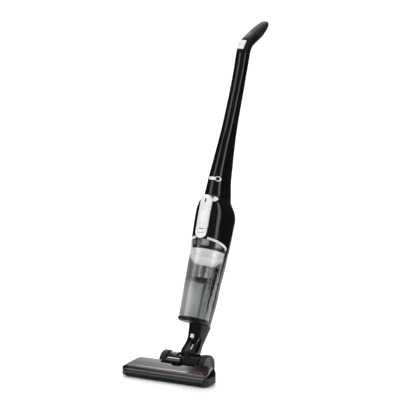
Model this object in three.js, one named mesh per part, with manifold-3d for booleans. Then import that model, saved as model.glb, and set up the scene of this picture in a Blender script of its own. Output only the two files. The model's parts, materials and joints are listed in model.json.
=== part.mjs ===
// Cordless stick vacuum: a powered floor head on wheels, a tilting and swivelling neck, a clear dust
// container with its cyclone, a motor pod with the battery, a long tapered shaft and a bent grip.
// Millimetres, +Z up, front of the floor head towards -Y. The origin is on the floor, at the centre
// of the footprint; the neck stands a little to the right of it.
import * as THREE from 'three';
import { mergeVertices } from 'three/addons/utils/BufferGeometryUtils.js';
import Module from 'manifold-3d';

const wasm = await Module();
wasm.setup();

// ---------- driving dimensions ----------
const lean = THREE.MathUtils.degToRad(21.5); // of the stick, back from upright
const gap = 0.3; // left between pieces that touch
const wall = 2.6; // of the moulded shells

// floor head: x is measured from its middle, y from the wheel axle, z from the floor
const headOffset = -16; // middle of the head's body, from the middle of the neck
const headHalf = 153;
const headFront = -112;
const headBack = -39.5;
const headSideBack = -50; // where the straight sides end
const headRearHalf = 100; // half width of the straight rear edge
const headFloor = 5;
const noseHeight = 38;
const creaseY = -57; // the deck is creased across, near its rear
const creaseHeight = 49.5;
const deckHeight = 54;
const windowTop = 14; // height of the front lip, under the window
const windowBack = -91; // seam between window and deck
const capInner = 138.5; // inner face of the end caps
const mouthHalf = 127.5;
const mouthFront = -101;
const mouthBack = -67;
const soleThickness = 2.2;
const headCorner = 16; // radius of the front corners
const valleyFloor = 40; // of the hollow in the deck, ahead of the yoke
const valleyHalf = 44;
const valleyTipHalf = 12;
const valleyTip = -66;

const rollerY = -84;
const rollerZ = 17;
const bristleRadius = 15.5;
const rollerHalf = 122.5;
const motorY = -54.5;
const motorZ = 27;
const brushMotorRadius = 10.5;
const pulleyX = -131.5;
const rollerPulleyRadius = 7.6;
const motorPulleyRadius = 3.8;

const axleHeight = 37;
const wheelRadius = 37;
const wheelInner = 62;
const wheelOuter = 82;
const drumRadius = 34.5;
const drumInner = 27;
const drumOuter = 58;
const casterRadius = 6;
const casterX = 60;
const casterY = -55.7;
const lockX = 93; // middle of the roller lock
const lockY = -53;

// stick: x across, y back, z up along the stick, from a datum behind and below the wheel axle
const datumBack = 18;
const datumHeight = 32.5;
const pivotY = -datumBack * Math.cos(lean) - (axleHeight - datumHeight) * Math.sin(lean);
const pivotZ = -datumBack * Math.sin(lean) + (axleHeight - datumHeight) * Math.cos(lean);
const swivelTop = 33.4; // top of the yoke's stub
const neckBottom = 36;
const neckTop = 127;
const stickFront = -80; // front line of the container
const containerBottom = 140;
const containerTopRadius = 57.5;
const containerBottomRadius = 49.5;
const containerTaperEnd = 375;
const containerWall = 2.2;
const flapBottom = 128.4;
const seamHeight = 380; // slanted seam between container and pod, on the axis
const seamSlope = 0.25;
const podTop = 535;
const shaftTop = 1010;
const panelHalf = 20;
const panelTop = 531;
const panelBottom = 391;
const buttonTop = 427;

const footprintFront = headFront;
const footprintBack = 513.5; // end of the grip, behind the axle
const footprintCentre = (footprintFront + footprintBack) / 2;

// ---------- finishes ----------
const finish = (color, roughness, metalness = 0) =>
  new THREE.MeshStandardMaterial({ color, roughness, metalness });
const glossBlack = finish(0x0b0b0d, 0.18);
const satinBlack = finish(0x17171a, 0.5);
const softBlack = finish(0x242427, 0.85);
const smoked = finish(0x2b2b30, 0.1);
const silver = finish(0xd9dadb, 0.35, 0.3);
const clear = finish(0xc9ccd0, 0.08);
const red = finish(0xc01525, 0.3);
const steel = finish(0x9b9da1, 0.3, 0.9);
const white = finish(0xeeeeec, 0.4);
const green = finish(0x1e5b35, 0.6);

// ---------- solids ----------
function solid(geometry) {
  geometry.deleteAttribute('normal');
  geometry.deleteAttribute('uv');
  const merged = mergeVertices(geometry, 1e-4);
  return new wasm.Manifold(new wasm.Mesh({
    numProp: 3,
    vertProperties: new Float32Array(merged.attributes.position.array),
    triVerts: new Uint32Array(merged.index.array),
  }));
}

function toGeometry(body) {
  const mesh = body.getMesh();
  const geometry = new THREE.BufferGeometry();
  geometry.setAttribute('position', new THREE.BufferAttribute(mesh.vertProperties, 3));
  geometry.setIndex(new THREE.BufferAttribute(mesh.triVerts, 1));
  geometry.computeVertexNormals();
  return geometry;
}

function piece(group, name, body, material) {
  const mesh = new THREE.Mesh(toGeometry(body), material);
  mesh.name = name;
  group.add(mesh);
  return mesh;
}

// a box between two corners
function block(low, high) {
  const size = high.map((value, i) => value - low[i]);
  const middle = high.map((value, i) => (value + low[i]) / 2);
  return solid(new THREE.BoxGeometry(...size).translate(...middle));
}

// a rod along 'x', 'y' or 'z', from start to end on that axis
function rod(axis, radius, start, end, centre, around = 24) {
  const geometry = new THREE.CylinderGeometry(radius, radius, end - start, around);
  if (axis === 'x') geometry.rotateZ(-Math.PI / 2);
  if (axis === 'z') geometry.rotateX(Math.PI / 2);
  const middle = { x: [(start + end) / 2, ...centre], y: [centre[0], (start + end) / 2, centre[1]],
    z: [...centre, (start + end) / 2] };
  return solid(geometry.translate(...middle[axis]));
}

// a turned piece: profile points are [radius, height], and its axis stands at y
function turned(profile, y, around = 28) {
  const points = profile.map(([radius, height]) => new THREE.Vector2(radius, height));
  points.push(points[0].clone());
  return solid(new THREE.LatheGeometry(points, around).rotateX(Math.PI / 2).translate(0, y, 0));
}

const tube = (outer, inner, bottom, top, y, around) =>
  turned([[inner, bottom], [outer, bottom], [outer, top], [inner, top]], y, around);

// outline of a flat shape, extruded along an axis from start to end
function slab(axis, shape, start, end) {
  const geometry = new THREE.ExtrudeGeometry(shape, { depth: end - start, bevelEnabled: false,
    curveSegments: 5 });
  if (axis === 'z') return solid(geometry.translate(0, 0, start));
  if (axis === 'y') return solid(geometry.rotateX(Math.PI / 2).translate(0, end, 0));
  // along x: the shape's own x becomes y and its y becomes z
  geometry.rotateX(Math.PI / 2);
  geometry.rotateZ(Math.PI / 2);
  return solid(geometry.translate(start, 0, 0));
}

// a closed solid through a stack of rounded-oval rings
// ring: { z, y, halfWidth, halfDepth, tilt } where tilt turns the ring back from level
function loft(rings, squareness = 2.5, around = 24) {
  const geometry = new THREE.CylinderGeometry(1, 1, 1, around, rings.length - 1);
  const position = geometry.attributes.position;
  const rounded = (value) => Math.sign(value) * Math.abs(value) ** (2 / squareness);
  for (let i = 0; i < position.count; i += 1) {
    const ring = rings[Math.round((position.getY(i) + 0.5) * (rings.length - 1))];
    const angle = Math.atan2(position.getZ(i), position.getX(i));
    const reach = Math.hypot(position.getX(i), position.getZ(i)) > 0.5 ? 1 : 0;
    const across = reach * ring.halfWidth * rounded(Math.cos(angle));
    const back = -reach * ring.halfDepth * rounded(Math.sin(angle));
    const tilt = ring.tilt ?? 0;
    position.setXYZ(i, across, ring.y + back * Math.cos(tilt), ring.z - back * Math.sin(tilt));
  }
  return solid(geometry);
}

// rings given by height, half width, front and back, grown outwards by an offset
const grown = (sections, offset = 0) => sections.map(([z, halfWidth, front, back]) => ({
  z, y: (front + back) / 2, halfWidth: halfWidth + offset, halfDepth: (back - front) / 2 + offset }));

// the same rings with the first and last pushed out by more, so that a cut runs right through
function through(sections, offset, extra = 2) {
  const rings = grown(sections, offset);
  rings[0].z -= extra;
  rings[rings.length - 1].z += extra;
  return rings;
}

function roundedBar(low, high, radius) {
  const shape = new THREE.Shape();
  shape.moveTo(low[0] + radius, low[1]);
  shape.lineTo(high[0] - radius, low[1]);
  shape.absarc(high[0] - radius, low[1] + radius, radius, -Math.PI / 2, 0);
  shape.lineTo(high[0], high[1] - radius);
  shape.absarc(high[0] - radius, high[1] - radius, radius, 0, Math.PI / 2);
  shape.lineTo(low[0] + radius, high[1]);
  shape.absarc(low[0] + radius, high[1] - radius, radius, Math.PI / 2, Math.PI);
  shape.lineTo(low[0], low[1] + radius);
  shape.absarc(low[0] + radius, low[1] + radius, radius, Math.PI, Math.PI * 1.5);
  return shape;
}

// ---------- floor head ----------
// the head's side view: nose, curved window, rising deck with its crease
function headSide(inset) {
  const shape = new THREE.Shape();
  shape.moveTo(headFront + inset, headFloor + inset);
  shape.lineTo(headFront + inset, windowTop + 2);
  shape.quadraticCurveTo(headFront + 1 + inset, noseHeight - 3 - inset, windowBack, noseHeight - inset);
  shape.lineTo(creaseY, creaseHeight - inset);
  shape.lineTo(headBack - inset, deckHeight - inset);
  shape.lineTo(headBack - inset, headFloor + inset);
  return shape;
}

// seen from above: straight front with round corners, swept back towards a narrower rear
function headPlan(inset) {
  const half = headHalf - inset;
  const corner = headCorner - inset;
  const front = headFront + inset;
  const sweep = 9; // the sides turn in by this much before the rear edge
  const shape = new THREE.Shape();
  shape.moveTo(-half + corner, front);
  shape.lineTo(half - corner, front);
  shape.absarc(half - corner, front + corner, corner, -Math.PI / 2, 0);
  shape.lineTo(half, headSideBack - sweep);
  shape.quadraticCurveTo(half, headSideBack, half - sweep, headSideBack + sweep / 2);
  shape.lineTo(headRearHalf - inset / 2, headBack - inset);
  shape.lineTo(-headRearHalf + inset / 2, headBack - inset);
  shape.lineTo(-half + sweep, headSideBack + sweep / 2);
  shape.quadraticCurveTo(-half, headSideBack, -half, headSideBack - sweep);
  shape.lineTo(-half, front + corner);
  shape.absarc(-half + corner, front + corner, corner, Math.PI, Math.PI * 1.5);
  return shape;
}

// seen from the front: the ends fall away in an arc
function headEnds(inset) {
  const half = headHalf - inset;
  const top = deckHeight + 5 - inset;
  const run = 42; // width of the falling end
  const shape = new THREE.Shape();
  shape.moveTo(-half, 0);
  shape.lineTo(half, 0);
  shape.lineTo(half, windowTop);
  shape.quadraticCurveTo(half - 2, top - 12, half - run, top);
  shape.lineTo(-half + run, top);
  shape.quadraticCurveTo(-half + 2, top - 12, -half, windowTop);
  return shape;
}

// hollow in the deck that the neck comes down into, behind a blunt tip
function deckValley(grow) {
  const middle = -headOffset;
  const shape = new THREE.Shape();
  shape.moveTo(middle - valleyTipHalf - grow, valleyTip - grow);
  shape.lineTo(middle + valleyTipHalf + grow, valleyTip - grow);
  shape.lineTo(middle + valleyHalf + grow, headBack + 1);
  shape.lineTo(middle - valleyHalf - grow, headBack + 1);
  return slab('z', shape, valleyFloor - grow, deckHeight + 10);
}

function headBody(inset) {
  return slab('x', headSide(inset), -headHalf, headHalf)
    .intersect(slab('z', headPlan(inset), 0, deckHeight + 10))
    .intersect(slab('y', headEnds(inset), headFront, headBack))
    .subtract(deckValley(inset));
}

const tall = 2000; // reach of the half-space blocks
const below = (z) => block([-tall, -tall, -tall], [tall, tall, z]);
const above = (z) => block([-tall, -tall, z], [tall, tall, tall]);
const ahead = (y) => block([-tall, -tall, -tall], [tall, y, tall]);
const behind = (y) => block([-tall, y, -tall], [tall, tall, tall]);
const betweenX = (a, b) => block([a, -tall, -tall], [b, tall, tall]);

const headShell = headBody(0).subtract(headBody(wall));
const mouth = block([-mouthHalf, mouthFront, -1], [mouthHalf, mouthBack, windowTop]);

const casterWell = (side) => block([side * casterX - 6, casterY - 7.7, 0],
  [side * casterX + 6, casterY + 7.7, 13]);
const lockSlot = block([lockX - 5, lockY - 5, 0], [lockX + 13, lockY + 5, windowTop]);

// arm between a drum and a wheel, which carries the axle
function axleArm(side) {
  const inner = side * (drumOuter + gap) - headOffset;
  const outer = side * (wheelInner - gap) - headOffset;
  const low = Math.min(inner, outer);
  const high = Math.max(inner, outer);
  return block([low, headBack + gap, 6], [high, 8, 46])
    .add(block([low, headBack - 1, 6], [high, headBack + 1, windowTop]));
}

// wall across the tray at one end of the roller's chamber, with a hole for its axle
function chamberEnd(side) {
  const inner = side * (mouthHalf - 2.5);
  const outer = side * mouthHalf;
  const web = block([Math.min(inner, outer), headFront + 2, headFloor + 1],
    [Math.max(inner, outer), mouthBack + 2.5, windowTop]);
  return web.subtract(rod('x', 5, -tall, tall, [rollerY, rollerZ], 16));
}

function headBase() {
  let base = headShell.intersect(below(windowTop)).intersect(betweenX(-capInner, capInner));
  base = base.subtract(mouth)
    .add(block([-mouthHalf, mouthBack, headFloor + 1], [mouthHalf, mouthBack + 2.5, windowTop]));
  for (const side of [-1, 1]) base = base.add(chamberEnd(side)).add(axleArm(side));
  base = base.subtract(rod('x', 4.3, -tall, tall, [0, axleHeight], 20)).subtract(lockSlot);
  for (const side of [-1, 1]) base = base.subtract(casterWell(side));
  return base;
}

function soleplate() {
  let plate = slab('z', headPlan(2), headFloor - gap - soleThickness, headFloor - gap)
    .subtract(mouth).subtract(lockSlot);
  for (const side of [-1, 1]) plate = plate.subtract(casterWell(side));
  return plate.intersect(betweenX(-capInner, capInner));
}

function headWindow() {
  return headShell.intersect(above(windowTop + gap)).intersect(ahead(windowBack - gap))
    .intersect(betweenX(-capInner, capInner));
}

// the red line lies in a groove along the front edge of the deck
const stripFront = windowBack + 1.6;
const stripBack = stripFront + 2.6;
const stripLow = -18; // its left and right ends
const stripHigh = 124;

function headDeck() {
  const groove = block([stripLow - gap, stripFront - gap, noseHeight - 1.6],
    [stripHigh + gap, stripBack + gap, tall]);
  return headShell.intersect(above(windowTop + gap)).intersect(behind(windowBack))
    .intersect(betweenX(-capInner, capInner)).subtract(groove);
}

function accentStrip() {
  const layer = headBody(0).subtract(headBody(1));
  return layer.intersect(block([stripLow, stripFront, noseHeight - 1.2],
    [stripHigh, stripBack, tall]));
}

function endCap(side) {
  const from = side < 0 ? -tall : capInner + gap;
  const to = side < 0 ? -capInner - gap : tall;
  return headShell.intersect(betweenX(from, to));
}

// the roller's core carries two helical rows of bristles
function brushRoller() {
  const around = 24;
  const steps = 18;
  const geometry = new THREE.CylinderGeometry(1, 1, 2 * rollerHalf, around, steps);
  const position = geometry.attributes.position;
  const coreRadius = 10.5;
  const rows = 2;
  const sweep = Math.PI; // of a row, from end to end
  for (let i = 0; i < position.count; i += 1) {
    const along = position.getY(i);
    const reach = Math.hypot(position.getX(i), position.getZ(i)) > 0.5 ? 1 : 0;
    const angle = Math.atan2(position.getZ(i), position.getX(i));
    const phase = rows * (angle - (along / rollerHalf) * (sweep / 2));
    const radius = reach * (coreRadius + (bristleRadius - coreRadius) * Math.max(0, Math.cos(phase)) ** 2);
    position.setXYZ(i, radius * Math.cos(angle), along, radius * Math.sin(angle));
  }
  geometry.rotateZ(-Math.PI / 2).translate(0, rollerY, rollerZ);
  const axle = rod('x', 3, pulleyX - 1.8, mouthHalf + 2.6, [rollerY, rollerZ], 12);
  return solid(geometry).add(axle);
}

const pulley = (x, radius, y, z) => rod('x', radius, x - 2.2, x + 2.2, [y, z], 16)
  .add(rod('x', radius + 0.8, x + 1.4, x + 2.4, [y, z], 16));

// a belt in the plane of the pulleys: the hull of two rings, as four arcs joined by straight runs
function driveBelt(thickness = 1.2) {
  const far = [motorY - rollerY, motorZ - rollerZ];
  const distance = Math.hypot(...far);
  const heading = Math.atan2(far[1], far[0]);
  const outline = (extra) => {
    const big = rollerPulleyRadius + extra;
    const small = motorPulleyRadius + extra;
    const flare = Math.acos((big - small) / distance);
    const shape = new THREE.Shape();
    shape.absarc(0, 0, big, heading + flare, heading - flare + 2 * Math.PI);
    shape.absarc(far[0], far[1], small, heading - flare, heading + flare);
    return shape;
  };
  const loop = slab('x', outline(gap + thickness), pulleyX - 1.8, pulleyX + 1.1)
    .subtract(slab('x', outline(gap), pulleyX - 4, pulleyX + 4));
  return loop.translate([0, rollerY, rollerZ]);
}

const tyreThickness = 4.2;

function rearWheel(side) {
  const low = Math.min(side * wheelInner, side * wheelOuter);
  const high = low + wheelOuter - wheelInner;
  const radius = wheelRadius - tyreThickness;
  const dish = side < 0 ? [low, low + 4] : [high - 4, high];
  return rod('x', radius, low + 1, high - 1, [0, axleHeight], 32)
    .subtract(rod('x', radius - 6, dish[0], dish[1], [0, axleHeight], 32))
    .subtract(rod('x', 4.3, -tall, tall, [0, axleHeight], 16));
}

function rearTyre(side) {
  const low = Math.min(side * wheelInner, side * wheelOuter);
  const outer = rod('x', wheelRadius, low, low + wheelOuter - wheelInner, [0, axleHeight], 40);
  return outer.subtract(rod('x', wheelRadius - tyreThickness + gap, -tall, tall, [0, axleHeight], 32));
}

// round housings on both sides of the yoke, open towards it
function drum(side) {
  const low = Math.min(side * drumInner, side * drumOuter);
  const length = drumOuter - drumInner;
  const hollow = side < 0 ? [low + 2.5, low + length + 1] : [low - 1, low + length - 2.5];
  return rod('x', drumRadius, low, low + length, [0, axleHeight], 32)
    .subtract(rod('x', drumRadius - wall, hollow[0], hollow[1], [0, axleHeight], 32))
    .subtract(rod('x', 4.3, -tall, tall, [0, axleHeight], 16));
}

function rollerLock() {
  return block([lockX - 4, lockY - 4, 2.6], [lockX + 4, lockY + 4, 10])
    .add(block([lockX - 2, lockY - 2, 1.6], [lockX + 2, lockY + 2, 3]));
}

// pieces that lie along the head's own middle
function buildHeadBody(shell) {
  piece(shell, 'head_base', headBase(), satinBlack);
  piece(shell, 'sole_plate', soleplate(), satinBlack);
  piece(shell, 'head_window', headWindow(), smoked);
  piece(shell, 'head_deck', headDeck(), glossBlack);
  piece(shell, 'accent_strip', accentStrip(), red);
  piece(shell, 'end_cap_left', endCap(-1), glossBlack);
  piece(shell, 'end_cap_right', endCap(1), glossBlack);
  piece(shell, 'brush_roller', brushRoller(), satinBlack);
  const pulleyBore = rod('x', 3 + gap, -tall, tall, [rollerY, rollerZ], 12);
  piece(shell, 'roller_pulley', pulley(pulleyX, rollerPulleyRadius, rollerY, rollerZ)
    .subtract(pulleyBore), satinBlack);
  const bearing = rod('x', 4.6, mouthHalf - 2.3, mouthHalf + 4.5, [rollerY, rollerZ], 16);
  piece(shell, 'roller_bearing', bearing.subtract(pulleyBore), steel);
  piece(shell, 'drive_belt', driveBelt(), softBlack);
  const motorEnd = pulleyX + 12; // of the brush motor, on the side of its pulley
  const motorShaft = rod('x', 1.6, pulleyX - 2, motorEnd + 4, [motorY, motorZ], 10);
  piece(shell, 'motor_pulley', pulley(pulleyX, motorPulleyRadius, motorY, motorZ).add(motorShaft), steel);
  const motorBody = rod('x', brushMotorRadius, motorEnd, motorEnd + 54, [motorY, motorZ], 24)
    .subtract(rod('x', 2, motorEnd - 1, motorEnd + 4.4, [motorY, motorZ], 12));
  piece(shell, 'brush_motor', motorBody, steel);
  piece(shell, 'caster_left', caster(-1), softBlack);
  piece(shell, 'caster_right', caster(1), softBlack);
  piece(shell, 'roller_lock', rollerLock(), red);
}

const caster = (side) => rod('x', casterRadius, side * casterX - 5, side * casterX + 5,
  [casterY, casterRadius], 20);

// pieces on the wheel axle, on both sides of the yoke
function buildWheels(head) {
  piece(head, 'drum_left', drum(-1), glossBlack);
  piece(head, 'drum_right', drum(1), glossBlack);
  piece(head, 'wheel_axle', rod('x', 4, -wheelOuter + 4.5, wheelOuter - 4.5, [0, axleHeight], 16), steel);
  for (const [side, word] of [[-1, 'left'], [1, 'right']]) {
    piece(head, `wheel_${word}`, rearWheel(side), satinBlack);
    piece(head, `tyre_${word}`, rearTyre(side), softBlack);
  }
}

// ---------- yoke and neck ----------
// height, half width, front and back
const neckSections = [[neckBottom, 29.5, -40, 24], [48, 28.3, -33, 27], [62, 26.5, -25, 31],
  [79, 26, -17.5, 39.5], [100, 27.5, -19, 49], [neckTop, 30, -22, 60]];
const neckSplit = 8;
const barrelRadius = 29;
const stubRadius = 19;

function pivotYoke() {
  const barrel = rod('x', barrelRadius, -drumInner + 2 * gap, drumInner - 2 * gap, [pivotY, pivotZ], 32);
  const stub = rod('z', stubRadius, pivotZ, swivelTop, [0, pivotY], 28);
  return barrel.add(stub).subtract(rod('x', 4.3, -tall, tall, [pivotY, pivotZ], 16))
    .subtract(rod('z', 12, pivotZ + 9, tall, [0, pivotY], 20));
}

const neckCollar = () => tube(26, stubRadius + gap + 0.1, 28.4, neckBottom - gap, pivotY, 28);

function neckShell() {
  return loft(grown(neckSections)).subtract(loft(through(neckSections, -wall)));
}

function neckDuct() {
  const line = [[37.5, 11, -22, 0], [70, 11, -3, 19], [90, 12, 3, 27], [110, 13, 11, 37],
    [neckTop - 0.6, 14, 17, 43]];
  return loft(grown(line), 2, 20).subtract(loft(through(line, -1.5), 2, 20));
}

const neckButtonCentre = 88;
const neckButtonSize = 6; // half of its side
const neckButtonHole = block([-neckButtonSize - gap, -40, neckButtonCentre - neckButtonSize - gap],
  [neckButtonSize + gap, -5, neckButtonCentre + neckButtonSize + gap]);

function buildNeck(stick) {
  piece(stick, 'pivot_yoke', pivotYoke(), satinBlack);
  piece(stick, 'neck_collar', neckCollar(), satinBlack);
  const shell = neckShell();
  piece(stick, 'neck_front', shell.intersect(ahead(neckSplit)).subtract(neckButtonHole), glossBlack);
  piece(stick, 'neck_rear', shell.intersect(behind(neckSplit + gap)), satinBlack);
  piece(stick, 'neck_duct', neckDuct(), softBlack);
  const button = block([-neckButtonSize, -20.2, neckButtonCentre - neckButtonSize],
    [neckButtonSize, -14.8, neckButtonCentre + neckButtonSize]);
  piece(stick, 'neck_button', button, white);
}

// ---------- container ----------
// everything under the slanted seam, lowered by a distance
function underSeam(drop) {
  const angle = Math.atan(seamSlope);
  const geometry = new THREE.BoxGeometry(400, 600, 600).translate(0, 0, -300);
  return solid(geometry.rotateX(-angle).translate(0, 0, seamHeight - drop));
}

const containerRadius = (z) => containerBottomRadius
  + ((z - containerBottom) * (containerTopRadius - containerBottomRadius))
  / (containerTaperEnd - containerBottom);

const containerSections = (bottom, top) => [bottom, top].map((z) => {
  const radius = containerRadius(z);
  return [z, radius, stickFront, stickFront + 2 * radius];
});

const hingeY = stickFront + 2 * containerBottomRadius - 4.2;
const hingeZ = containerBottom - 0.2;
const hingeNotch = block([-16, hingeY - 3, hingeZ - 3], [16, hingeY + 5, hingeZ + 3]);

function containerShell() {
  const outer = loft(grown(containerSections(containerBottom, 420)), 2, 40);
  const inner = loft(through(containerSections(containerBottom, 420), -containerWall), 2, 40);
  const inlet = block([-17, 10, 318], [17, 60, 338]);
  return outer.subtract(inner).intersect(underSeam(gap + 0.2)).subtract(inlet).subtract(hingeNotch);
}

function bottomFlap() {
  const y = stickFront + containerBottomRadius;
  const radius = containerBottomRadius - 0.1;
  const top = containerBottom - 0.4;
  const profile = [[0, flapBottom], [radius - 6, flapBottom], [radius, flapBottom + 5.5], [radius, top],
    [radius - 3, top], [radius - 3, flapBottom + 5], [radius - 7, flapBottom + 2.6], [0, flapBottom + 2.6]];
  const points = profile.map(([r, z]) => new THREE.Vector2(r, z));
  const cup = solid(new THREE.LatheGeometry(points, 40).rotateX(Math.PI / 2).translate(0, y, 0));
  return cup.subtract(latchNotch).subtract(block([-20, hingeY - 3, hingeZ - 6.8], [20, hingeY + 5, hingeZ]));
}

const latchHalf = 13;
const latchNotch = block([-latchHalf - 0.4, stickFront - 2, flapBottom + 1.4],
  [latchHalf + 0.4, stickFront + 7, containerBottom]);

function flapLatch() {
  const y = stickFront + containerBottomRadius;
  const ring = tube(containerBottomRadius - 0.2, containerBottomRadius - 2.9, flapBottom + 5.6,
    containerBottom - 0.6, y, 40);
  return ring.intersect(block([-latchHalf, -tall, -tall], [latchHalf, y, tall]));
}

const cycloneY = stickFront + containerRadius(356);

function meshShroud() {
  let shroud = tube(25, 22.6, 274.6, 311.6, cycloneY, 24);
  const slots = 8;
  for (let i = 0; i < slots; i += 1) {
    const slot = block([-3.2, 15, 279], [3.2, 35, 307]);
    shroud = shroud.subtract(slot.rotate([0, 0, (i * 360) / slots]).translate([0, cycloneY, 0]));
  }
  return shroud;
}

// skirt, vortex tube and their floor are one moulding
function vortexSkirt() {
  return turned([[13, 264], [35, 260], [36, 262], [27, 274], [15.5, 274], [15.5, 366], [13.5, 366]],
    cycloneY, 32);
}

function filterFrame() {
  let frame = tube(50, 47.4, 368.4, 420, cycloneY, 32).intersect(underSeam(3));
  for (let i = 0; i < 4; i += 1) {
    const cut = block([-12, 40, 373], [12, 60, 381]);
    frame = frame.subtract(cut.rotate([0, 0, i * 90 + 45]).translate([0, cycloneY, 0]));
  }
  return frame;
}

function buildContainer(stick) {
  piece(stick, 'container_shell', containerShell(), clear);
  piece(stick, 'filter_ring', tube(53.7, 46, 345, 368, cycloneY, 36), silver);
  piece(stick, 'cyclone_cone', turned([[53, 344.6], [50.8, 344.6], [23, 314], [23, 312], [25.5, 312]],
    cycloneY, 28), silver);
  piece(stick, 'mesh_shroud', meshShroud(), steel);
  piece(stick, 'vortex_skirt', vortexSkirt(), satinBlack);
  piece(stick, 'filter_frame', filterFrame(), satinBlack);
  piece(stick, 'foam_filter', rod('z', 46, 368.6, 420, [0, cycloneY], 28).intersect(underSeam(4)), white);
  piece(stick, 'bottom_flap', bottomFlap(), glossBlack);
  const y = stickFront + containerBottomRadius;
  piece(stick, 'flap_gasket', tube(44, 41.4, flapBottom + 6, containerBottom + 1.6, y, 32)
    .subtract(hingeNotch), softBlack);
  piece(stick, 'flap_latch', flapLatch(), satinBlack);
  piece(stick, 'flap_pin', rod('x', 1.6, -15.5, 15.5, [hingeY, hingeZ], 12), steel);
}

// ---------- back shell, pod, shaft ----------
const backSections = [[neckTop + 0.4, 34, -80, 58], [158, 40, -80, 55], [204, 46, -80, 55],
  [259, 47.5, -80, 56], [318, 51, -80, 60], [410, 53.5, -80, 61.5]];
const podSections = [[350, 53, -81, 61.5], [400, 55, -83, 61.5], [440, 55.5, -86.5, 62], [480, 55.5, -88, 61],
  [500, 52, -88, 52], [515, 46, -86.5, 40], [527, 39.5, -81, 33], [podTop, 36, -76, 31]];
const shaftSections = [[podTop + gap, 36, -76, 31], [560, 33, -77, 26], [592, 30, -77, 17],
  [640, 27, -72.5, 10.5], [690, 24.5, -67.5, 3.5], [757, 22, -60, -4], [830, 21, -56, -7.5],
  [900, 20.6, -53.5, -9.5], [965, 20.8, -54.5, -12.5], [shaftTop, 21.2, -57.5, -14.5]];
const podSplit = -12;
const shaftSplit = -30;

function backShell() {
  const duct = [[120, 17, 24, 48], [158, 19, 27, 50], [259, 22, 33, 51], [318, 23, 37.5, 55.5],
    [420, 23, 40.5, 56.5]];
  const trough = loft(grown(containerSections(110, 430), 0.5), 2, 40);
  const inlet = block([-15, 25, 320], [15, 45, 336]);
  return loft(grown(backSections)).intersect(behind(4)).intersect(underSeam(0.2))
    .subtract(trough).subtract(loft(grown(duct), 2.5, 20)).subtract(inlet);
}

function podShell() {
  return loft(grown(podSections), 2.5, 28).subtract(loft(through(podSections, -wall), 2.5, 28))
    .subtract(underSeam(-gap));
}

const grilleLow = [-25, 48, 424];
const grilleHigh = [25, 70, 478];
const socketZ = 497;

function podRear() {
  const opening = block(grilleLow, grilleHigh);
  return podShell().intersect(behind(podSplit + gap)).subtract(opening)
    .subtract(rod('y', 7.3, 30, 70, [0, socketZ], 24));
}

function exhaustGrille() {
  const plateFront = 53;
  const plateBack = 55.6;
  const low = [grilleLow[0] + gap, plateFront, grilleLow[2] + gap];
  const high = [grilleHigh[0] - gap, plateBack, grilleHigh[2] - gap];
  let grille = block(low, high);
  const slots = 7;
  const pitch = 7;
  for (let i = 0; i < slots; i += 1) {
    const z = grilleLow[2] + 6 + i * pitch;
    grille = grille.subtract(block([-21, 50, z - 1.6], [21, 60, z + 1.6]));
  }
  return grille;
}

// the silver panel hugs the pod's front; its lower end is the container's release button
function panelOutline() {
  const shape = new THREE.Shape();
  shape.moveTo(panelHalf, panelBottom + panelHalf);
  shape.lineTo(panelHalf, panelTop - panelHalf);
  shape.absarc(0, panelTop - panelHalf, panelHalf, 0, Math.PI);
  shape.lineTo(-panelHalf, panelBottom + panelHalf);
  shape.absarc(0, panelBottom + panelHalf, panelHalf, Math.PI, Math.PI * 2);
  return shape;
}

const panelSections = [
  [380, 55, -83.2, 61.5],
  [400, 55, -84, 61.5],
  [440, 55.5, -86.5, 62],
  [480, 55.5, -88, 61],
  [520, 54, -89, 50],
  [560, 50, -88, 40],
];

function panelLayer(from, to) {
  return loft(grown(panelSections, to), 2.5, 28).subtract(loft(grown(panelSections, from), 2.5, 28))
    .intersect(slab('y', panelOutline(), -tall, -40));
}

// the panel thickens where it stands clear of the shoulder, and runs back in two wings there
function handlePanel() {
  const outline = slab('y', panelOutline(), -tall, -40);
  const pod = loft(grown(podSections, gap), 2.5, 28);
  const crown = loft(grown(panelSections, 4.2), 2.5, 28).subtract(pod).intersect(outline)
    .intersect(above(500));
  const bar = slab('x', roundedBar([-110, 512], [-48, 530], 8.5), -60, 60);
  const wings = loft(grown(podSections, 2.6), 2.5, 28).subtract(pod).intersect(bar);
  return panelLayer(gap, 4.2).intersect(above(buttonTop + gap)).add(crown).add(wings)
    .subtract(block([-2.2, -100, 505], [2.2, -85, 517]));
}

const releaseButton = () => panelLayer(2.7, 4.4).intersect(below(buttonTop - gap));

const motorAxisY = -10;

function fanHousing() {
  return turned([[14, 400], [40, 400], [40, 424], [5, 424], [5, 422], [38, 422], [38, 402], [14, 402]],
    motorAxisY, 32);
}

function fanImpeller() {
  let fan = turned([[0.01, 412.5], [34, 412.5], [34, 414.5], [0.01, 414.5]], motorAxisY, 32);
  const blades = 7;
  for (let i = 0; i < blades; i += 1) {
    const blade = block([8, -0.8, 404.5], [33, 0.8, 413]).rotate([0, 0, (i * 360) / blades]);
    fan = fan.add(blade.translate([0, motorAxisY, 0]));
  }
  const hub = rod('z', 6, 404.5, 418, [0, motorAxisY], 16);
  const spindle = rod('z', 3, 417, 432, [0, motorAxisY], 12);
  return fan.add(hub).add(spindle);
}

function suctionMotor() {
  const can = rod('z', 26, 424.4, 452, [0, motorAxisY], 28);
  const spindleHole = rod('z', 4, 420, 436, [0, motorAxisY], 14);
  return can.subtract(spindleHole);
}

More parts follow.
